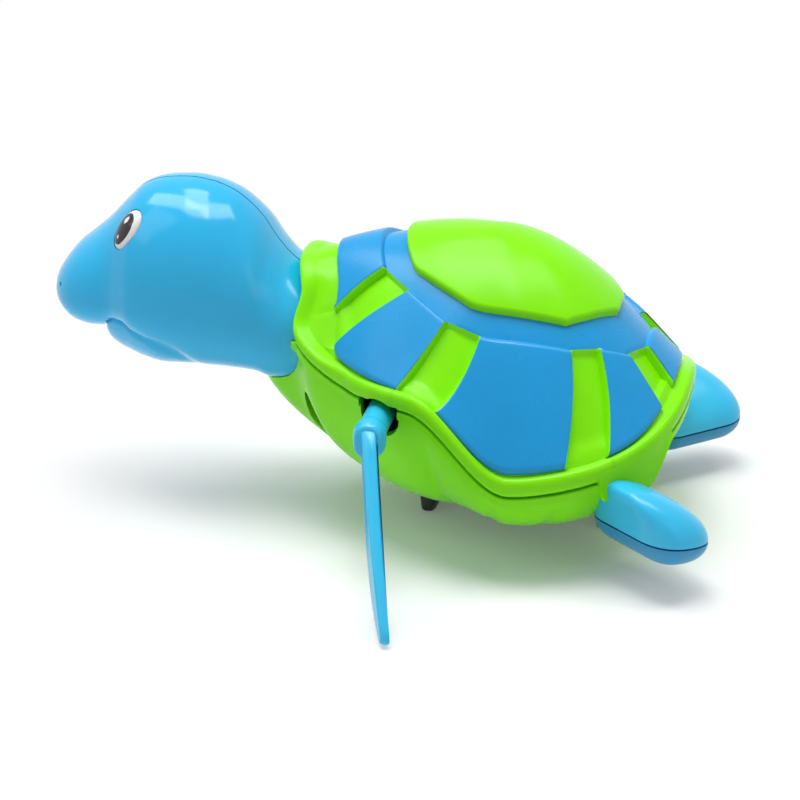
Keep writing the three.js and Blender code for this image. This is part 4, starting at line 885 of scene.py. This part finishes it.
def head_half(name, side):
    """One half of the head, hollow, whose inner edges meet the other half's."""
    stations, angles = np.linspace(0, HEAD_STEPS, HEAD_ROWS), np.linspace(0, 1, HEAD_COLS)
    s, theta = np.meshgrid(stations, angles, indexing="ij")
    outer = head_point(s, theta, side)
    inner = head_point(s, theta, side, HEAD_WALL)
    for p, gap in ((outer, SEAM / 2), (inner, SEAM_SHUT)):
        p[..., 1] = np.minimum(p[..., 1], -gap) if side < 0 else np.maximum(p[..., 1], gap)
    rows, cols = s.shape
    n = rows * cols
    points = np.concatenate([outer.reshape(-1, 3), inner.reshape(-1, 3)])
    faces = grid_faces(rows, cols, wrap=False)
    faces += [tuple(n + i for i in reversed(f)) for f in grid_faces(rows, cols, wrap=False)]

    def at(layer, i, j):
        return layer * n + i * cols + j

    for i in range(rows - 1):
        for j in (0, cols - 1):
            faces.append((at(0, i, j), at(0, i + 1, j), at(1, i + 1, j), at(1, i, j)))
    for j in range(cols - 1):
        for i in (0, rows - 1):
            faces.append((at(0, i, j), at(0, i, j + 1), at(1, i, j + 1), at(1, i, j)))
    obj = make(name, points, faces, [HEAD_BLUE])
    crease(obj, 48)
    return obj


def neck_plug(name, grow):
    """Solid of the neck, grown by a clearance, that opens the collar and the chest."""
    theta = np.concatenate([np.linspace(0, 1, 33), np.linspace(1, 0, 33)[1:-1]])
    sides = np.concatenate([np.ones(33), -np.ones(31)])
    rings = []
    for s in PLUG_STATIONS:
        at = np.full(len(theta), max(0.0, s))
        p = head_point(at, theta, sides)
        mid = head_station(at)[MIDDLE]
        out = unit(np.stack([p[:, 1], p[:, 2] - mid], 1))
        p[:, 0] += PLUG_BEHIND * max(0.0, -s)
        p[:, 1:] += out * grow
        rings.append(p)
    return loft(name, rings, [], angle=40)


def on_head(x, z, side):
    """Point of the head's side at a given place and height, and the normal there."""
    s, theta = np.meshgrid(np.arange(6, HEAD_STEPS, 0.04), np.arange(0.05, 0.6, 0.008), indexing="ij")
    p = head_point(s, theta, side)
    k = np.argmin(np.hypot(p[..., 0] - x, p[..., 2] - z))
    return p.reshape(-1, 3)[k], head_normal(s, theta, side).reshape(-1, 3)[k]


def nostril(name, side):
    at, _ = on_head(NOSTRIL_X, NOSTRIL_Z, side)
    n = 24
    a = turn(n)
    rings = []
    for b in np.linspace(0.1, math.pi - 0.1, 13):
        ring = np.stack([np.sin(b) * np.cos(a), np.sin(b) * np.sin(a), np.full(n, np.cos(b))], 1)
        rings.append(at + NOSTRIL_R * ring)
    return loft(name, rings, [], angle=60)


def eye_frame(side):
    p, n = on_head(EYE_X, EYE_Z, side)
    right = unit(np.cross(EYE_UP, n))
    top = unit(np.cross(n, right))
    return p - n * EYE_SUNK, right, top, n


def eye_is_dark(u, v):
    """Whether a place on the eye's front, in shares of its half sizes, is dark."""
    pupil = (u / PUPIL_HALF[0]) ** 2 + (v / PUPIL_HALF[1]) ** 2 < 1
    shine = any((u - mu) ** 2 / ru ** 2 + (v - mv) ** 2 / rv ** 2 < 1 for mu, mv, ru, rv in SHINES)
    return pupil and not shine


def eye(name, side, grow=0.0, materials=()):
    """The eye's oval, or its socket's where it is grown."""
    p, right, top, n = eye_frame(side)
    rings = []
    polar = np.linspace(0.03, math.pi - 0.03, 61)
    a = turn(EYE_POINTS)
    for b in polar:
        w = np.sin(b)
        u = (EYE_W + grow) * w * np.cos(a)
        v = (EYE_H + grow) * w * np.sin(a)
        d = (EYE_D + grow) * np.cos(b)
        rings.append(p + u[:, None] * right + v[:, None] * top + d * n)
    index = None
    if materials:
        index = []
        for b in (polar[:-1] + polar[1:]) / 2:
            for m in a + np.pi / EYE_POINTS:
                u, v = math.sin(b) * math.cos(m), math.sin(b) * math.sin(m)
                index.append(1 if b < math.pi / 2 and eye_is_dark(u, v) else 0)
        index += [1] * EYE_POINTS + [0] * EYE_POINTS
    return loft(name, rings, list(materials), index)


# Front flippers
HULL_AT_AXLE = half_width_at(AXLE_X)
BOSS_IN = HULL_AT_AXLE - 4.2
BLADE_IN = SHELL_HALF + 2.2
BOSS_OUT = BLADE_IN + 0.8
BOSS_END = BOSS_OUT - 0.4
BOSS_ROUND = 0.7
HUB_T, HUB_R_OUT, HUB_DROP, HUB_EDGE = 4.2, 2.5, 1.4, 0.8
ROOT_IN, ROOT_HALF, TIP_SHORT = 1.9, 1.7, 2.5
BLADE_EDGE, BLADE_INSET, BLADE_BOW = 0.35, 0.6, 0.35
BOSS_POINTS = 48


def quad_curve(a, b, c, n):
    t = np.linspace(0, 1, n + 1)[1:, None]
    return (1 - t) ** 2 * np.array(a) + 2 * t * (1 - t) * np.array(b) + t * t * np.array(c)


def line(a, b, n):
    t = np.linspace(0, 1, n + 1)[1:, None]
    return mix(np.array(a), np.array(b), t)


def blade_outline():
    """Outline of the blade: distance from the middle plane and height from the axle."""
    tip = BLADE_IN + BLADE_REACH - TIP_SHORT
    low = -BLADE_DROP
    root_top, root_low = (BLADE_IN - ROOT_IN, ROOT_HALF), (BLADE_IN - ROOT_IN, -ROOT_HALF)
    shoulder, front = (BLADE_IN + 0.6, 1.5), (BLADE_IN + 4, -1.4)
    tip_front, tip_low = (tip - 0.6, low + 2.4), (tip - 1, low)
    belly, heel = (BLADE_IN + 8.4, low + 7.6), (BLADE_IN + 0.4, -3)
    return np.concatenate([
        np.array([root_top]),
        line(root_top, shoulder, 3),
        quad_curve(shoulder, (BLADE_IN + 2.4, 0.6), front, 8),
        line(front, tip_front, 24),
        quad_curve(tip_front, (tip + 0.5, low + 0.4), tip_low, 8),
        quad_curve(tip_low, (tip - 7, low + 1.2), belly, 10),
        quad_curve(belly, (BLADE_IN + 2.6, -11), heel, 16),
        line(heel, root_low, 3),
    ])


def blade(name, side):
    """Flat blade with a round edge, thinner and swept back towards its tip."""
    plan = blade_outline()
    centre = plan.mean(0)
    rings = []
    round_edge = [(-math.cos(a), math.sin(a)) for a in np.linspace(0, math.pi, 11)]
    steps = [(-1, 0.0)] + round_edge + [(1, 0.0)]
    inward = unit(np.roll(plan, -1, 0) - np.roll(plan, 1, 0))
    inward = np.stack([-inward[:, 1], inward[:, 0]], 1)
    inward *= np.where(((centre - plan) * inward).sum(1, keepdims=True) < 0, -1, 1)
    for k, (across, out) in enumerate(steps):
        last = k in (0, len(steps) - 1)
        p = plan + inward * (BLADE_EDGE * (1 - out) + (BLADE_INSET if last else 0))
        f = clamp((p[:, 0] - BLADE_IN) / BLADE_REACH)
        t = mix(BLADE_ROOT_T, BLADE_TIP_T, f)
        swept = AXLE_X + BLADE_SWEEP * np.maximum(0, p[:, 0] - BLADE_IN)
        x = swept - BLADE_BOW * np.sin(np.pi * f) + across * t / 2
        rings.append(np.stack([x, side * p[:, 0], AXLE_Z + p[:, 1]], 1))
    return loft(name, rings, [FLIPPER_BLUE], angle=60, caps="face")


def boss(name, side):
    """Round boss that the axle is pressed into."""
    a = turn(BOSS_POINTS)
    start = BOSS_END - BOSS_ROUND
    profile = [(BOSS_R, BOSS_IN)] + [(BOSS_R, y) for y in np.linspace(BOSS_IN + 1, start, 4)]
    for b in (0.4, 0.8, 1.2, 1.57):
        profile.append((BOSS_R - BOSS_ROUND * (1 - math.cos(b)), start + BOSS_ROUND * math.sin(b)))
    rings = []
    for r, y in profile:
        x, z = AXLE_X + r * np.cos(a), AXLE_Z + r * np.sin(a)
        rings.append(np.stack([x, np.full(BOSS_POINTS, side * y), z], 1))
    return loft(name, rings, [FLIPPER_BLUE], angle=50)


def hub(name, side):
    """Rounded hub at the blade's root, longer below the axle than above it."""
    a = turn(BOSS_POINTS)
    rings = []
    for b in np.linspace(0, math.pi, 13):
        y = side * (BOSS_OUT - HUB_T / 2 - math.cos(b) * HUB_T / 2)
        r = HUB_R_OUT - HUB_EDGE * (1 - math.sin(b))
        z = r * np.sin(a) + np.where(np.sin(a) < 0, -HUB_DROP, 0)
        rings.append(np.stack([AXLE_X + r * np.cos(a), np.full(BOSS_POINTS, y), AXLE_Z + z], 1))
    return loft(name, rings, [FLIPPER_BLUE], angle=50)


# Openings of the shell for the flippers' bosses, each under a tab of the rim between two moulded slits.
SLIT_W, TAB_HALF, TAB_TOP, NECK_SEAM = 0.3, 3.1, 27.4, 0.14
OPENING_R = BOSS_R + 4 * GAP
OPENING_SIDE = OPENING_R - 0.01
OPENING_IN, OPENING_OUT, SLIT_OUT_Y = 6, 4, 40
SCREW_IN = 0.45


def boss_cutters():
    made = []
    top = float(edge_z(AXLE_X, 0.0)) - BEAD_R * 0.6
    for side in (-1, 1):
        y0, y1 = sorted((side * (HULL_AT_AXLE - OPENING_IN), side * (HULL_AT_AXLE + OPENING_OUT)))
        made.append(rod("cut_boss", AXLE_X, AXLE_Z, y0, y1, OPENING_R))
        made.append(block("cut_side", AXLE_X - OPENING_SIDE, AXLE_X + OPENING_SIDE, y0, y1, AXLE_Z, top))
    return made


def slit_cutters():
    made = []
    for side in (-1, 1):
        y0, y1 = sorted((side * (HULL_AT_AXLE - 1), side * SLIT_OUT_Y))
        for x in (AXLE_X - TAB_HALF, AXLE_X + TAB_HALF):
            made.append(block("cut_slit", x - SLIT_W / 2, x + SLIT_W / 2, y0, y1, AXLE_Z, TAB_TOP))
    return made


# Sections of the knob's wing: height, and shares of its thickness and length.
WING_SECTIONS = [
    (0, 0.25, 0.41), (0.12, 0.34, 0.45), (0.35, 0.42, 0.48), (1.2, 0.46, 0.49),
    (2.4, 0.5, 0.5), (3.6, 0.5, 0.46), (WING_H, 0.48, 0.42),
]


def winding_key():
    """Wing of the knob, rounded at its foot, and the hub above it."""
    n = 64
    a = turn(n)
    c, s = np.cos(a), np.sin(a)
    rings = []
    for z, fx, fy in WING_SECTIONS:
        px = np.sign(c) * np.abs(c) ** 0.5 * WING_T * fx
        py = np.sign(s) * np.abs(s) ** 0.5 * WING_LENGTH * fy
        rings.append(np.stack([KNOB_X + px, py, np.full(n, z)], 1))
    for z in (WING_H + 0.01, KNOB_TOP):
        rings.append(np.column_stack([disc(KNOB_X, 0, HUB_R, n), np.full(n, z)]))
    return loft("winding_key", rings, [KNOB_GREY], angle=45)


# Pieces of the part. The upper shell crosses itself, which only the fast solver takes.
upper = upper_shell()
lower = lower_shell()
cut(upper, boss_cutters() + slit_cutters() + [neck_plug("cut_neck_up", NECK_SEAM)], "FAST")
cutters = boss_cutters()
cutters.append(post("cut_knob", KNOB_X, 0, -1, KNOB_TOP, HUB_R + GAP, 48))
for i, (x, y) in enumerate(SHELL_SCREWS):
    seat = NECK_SEAT_Z if x < 0 else float(edge_z(x, abs(y))) - BEAD_R - SCREW_L * SCREW_IN
    cutters.append(post("cut_screw%d" % i, x, y, -1, seat + SCREW_HEAD_H, WELL_R, 40))
    head_top = float(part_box("shell_screw_%d" % (i + 1))[0][2]) * MM_PER_M + SCREW_HEAD_H
    well = screw_well("screw_well_%d" % (i + 1), x, y, head_top + 0.05, [GREEN])
    finish_piece(well, "body", "shell_green", "lower_shell")
cutters.append(neck_plug("cut_neck_low", NECK_SEAM))
cut(lower, cutters)
smooth_again(upper, 38)
smooth_again(lower, 38)
finish_piece(upper, "body", "shell_top", "upper_shell")
finish_piece(lower, "body", "shell_green", "lower_shell")
finish_piece(heel_foot(), "body", "shell_green", "lower_shell")

for side, word in ((-1, "left"), (1, "right")):
    top = pad("rear_flipper_top_" + word, side, 1, [FLIPPER_BLUE])
    finish_piece(top, "body", "flipper", "upper_shell")
    root = pad_hood("rear_flipper_root_" + word, side, [GREEN])
    finish_piece(root, "body", "shell_top", "upper_shell")
    # The lower half takes the darker blue, which is painted shade.
    low = pad("rear_flipper_sole_" + word, side, -1, [SHADED_SOLE_BLUE])
    finish_piece(low, "body", "flipper", "lower_shell")
    half = head_half("head_half_" + word, side)
    cut(half, [eye("eye_socket_" + word, side, GAP * 0.5), nostril("nostril_" + word, side)])
    smooth_again(half, 48)
    finish_piece(half, "body", "head", "head_" + word)
    ball = eye("eye_ball_" + word, side, 0.0, (WHITE, PUPIL))
    finish_piece(ball, "body", "eye", "eye_" + word)
    paddle = "front_paddle_" + word
    for piece in (blade(paddle, side), boss(paddle + "_boss", side), hub(paddle + "_hub", side)):
        finish_piece(piece, "paddles", "flipper", "front_flipper_" + word)

finish_piece(winding_key(), "winder", "knob", "winding_knob")

INNER_LOOKS = {
    "flipper_axle": STEEL, "intermediate_shaft": STEEL, "winding_arbor": STEEL,
    "axle_pinion": IVORY, "crown_gear": IVORY, "great_gear": IVORY,
    "mainspring": STRIP, "gearbox_base": CASE, "gearbox_cover": CASE,
}
INNER_LOOKS.update((name, STEEL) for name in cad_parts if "screw" in name)
for name, material in INNER_LOOKS.items():
    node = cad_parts[name]
    node.data.materials.clear()
    node.data.materials.append(material)


# Floor, light and camera, in metres.
FLOOR_HALF, FLOOR_PALE = 3, 0.92
# The floor shows its shadow near the toy and turns into the white backdrop away from it: a painted glow, weak
# by the toy's middle and stronger further out, lightens the shadows that fall away from the middle, such as
# the head's.
FADE_MIDDLE, FADE_FROM, FADE_TO = (0.02, 0, 0), 0.022, 0.095
FADE_NEAR, FADE_FAR = 0.12, 0.94
AMBIENT, BACKDROP = 0.16, 1.0
WHITE_LIGHT = (1, 1, 1, 1)
VIEW_AZ, VIEW_EL, VIEW_FAR = math.radians(11.5), math.radians(23.42), 0.5
VIEW_Z, LENS = 0.0175, 139.5


def seen_rays(tree):
    """1 for camera, glossy and transmission rays, and 0 for the others."""
    rays = tree.nodes.new("ShaderNodeLightPath")
    total = rays.outputs["Is Camera Ray"]
    for other in ("Is Glossy Ray", "Is Transmission Ray"):
        m = tree.nodes.new("ShaderNodeMath")
        m.operation = "ADD"
        m.use_clamp = True
        tree.links.new(total, m.inputs[0])
        tree.links.new(rays.outputs[other], m.inputs[1])
        total = m.outputs[0]
    return total


def floor_material():
    pale = bpy.data.materials.new("pale_floor")
    pale.use_nodes = True
    t = pale.node_tree
    t.nodes.clear()
    out = t.nodes.new("ShaderNodeOutputMaterial")
    both = t.nodes.new("ShaderNodeMixShader")
    dull = t.nodes.new("ShaderNodeBsdfDiffuse")
    dull.inputs["Color"].default_value = (FLOOR_PALE, FLOOR_PALE, FLOOR_PALE, 1)
    # Painted light: a white glow mixed over the floor that grows with distance from the toy's middle and
    # pales the shadows there.
    glow = t.nodes.new("ShaderNodeEmission")
    glow.inputs["Color"].default_value = WHITE_LIGHT
    place = t.nodes.new("ShaderNodeTexCoord")
    away = t.nodes.new("ShaderNodeVectorMath")
    away.operation = "DISTANCE"
    away.inputs[1].default_value = FADE_MIDDLE
    t.links.new(place.outputs["Object"], away.inputs[0])
    fade = t.nodes.new("ShaderNodeMapRange")
    fade.inputs["From Min"].default_value = FADE_FROM
    fade.inputs["From Max"].default_value = FADE_TO
    fade.inputs["To Min"].default_value = FADE_NEAR
    fade.inputs["To Max"].default_value = FADE_FAR
    t.links.new(away.outputs["Value"], fade.inputs["Value"])
    share = t.nodes.new("ShaderNodeMath")
    share.operation = "MULTIPLY"
    t.links.new(seen_rays(t), share.inputs[0])
    t.links.new(fade.outputs["Result"], share.inputs[1])
    t.links.new(share.outputs[0], both.inputs[0])
    t.links.new(dull.outputs[0], both.inputs[1])
    t.links.new(glow.outputs[0], both.inputs[2])
    t.links.new(both.outputs[0], out.inputs[0])
    return pale


def studio():
    """White backdrop for what is seen, and a lower even light for the rest."""
    world = bpy.data.worlds.new("studio")
    scene.world = world
    world.use_nodes = True
    t = world.node_tree
    t.nodes.clear()
    out = t.nodes.new("ShaderNodeOutputWorld")
    back = t.nodes.new("ShaderNodeBackground")
    back.inputs["Color"].default_value = WHITE_LIGHT
    level = t.nodes.new("ShaderNodeMapRange")
    level.inputs["To Min"].default_value = AMBIENT
    level.inputs["To Max"].default_value = BACKDROP
    t.links.new(seen_rays(t), level.inputs["Value"])
    t.links.new(level.outputs["Result"], back.inputs["Strength"])
    t.links.new(back.outputs[0], out.inputs[0])


def softbox(name, at, to, size, watts):
    light = bpy.data.lights.new(name, "AREA")
    light.shape = "RECTANGLE"
    light.size, light.size_y = size
    light.energy = watts
    obj = bpy.data.objects.new(name, light)
    obj.location = at
    obj.rotation_euler = (Vector(to) - Vector(at)).to_track_quat("-Z", "Y").to_euler()
    scene.collection.objects.link(obj)


def photo_camera():
    target = Vector((SHIFT * MM, 0, VIEW_Z))
    camera = bpy.data.cameras.new("camera")
    camera.lens = LENS
    camera.clip_start = 0.01
    obj = bpy.data.objects.new("camera", camera)
    obj.location = target + VIEW_FAR * Vector((
        math.sin(VIEW_AZ) * math.cos(VIEW_EL), -math.cos(VIEW_AZ) * math.cos(VIEW_EL), math.sin(VIEW_EL)))
    obj.rotation_euler = (target - obj.location).to_track_quat("-Z", "Y").to_euler()
    scene.collection.objects.link(obj)
    scene.camera = obj


ends = [(x * FLOOR_HALF, y * FLOOR_HALF, 0) for x, y in ((-1, -1), (1, -1), (1, 1), (-1, 1))]
mesh = bpy.data.meshes.new("floor")
mesh.from_pydata(ends, [], [(0, 1, 2, 3)])
mesh.materials.append(floor_material())
floor = bpy.data.objects.new("floor", mesh)
scene.collection.objects.link(floor)

studio()
for i, x in enumerate((-0.3, -0.05, 0.2)):
    softbox("key_top_%d" % i, (x, 0.06, 0.7), (x * 0.7, 0, 0.02), (0.22, 0.56), 2.2)
softbox("front_left", (-0.5, -0.3, 0.62), (-0.03, 0, 0.03), (0.4, 0.5), 0.8)
softbox("right", (0.7, -0.35, 0.35), (0.02, 0, 0.03), (0.4, 0.4), 0.3)
photo_camera()

bpy.context.view_layer.update()
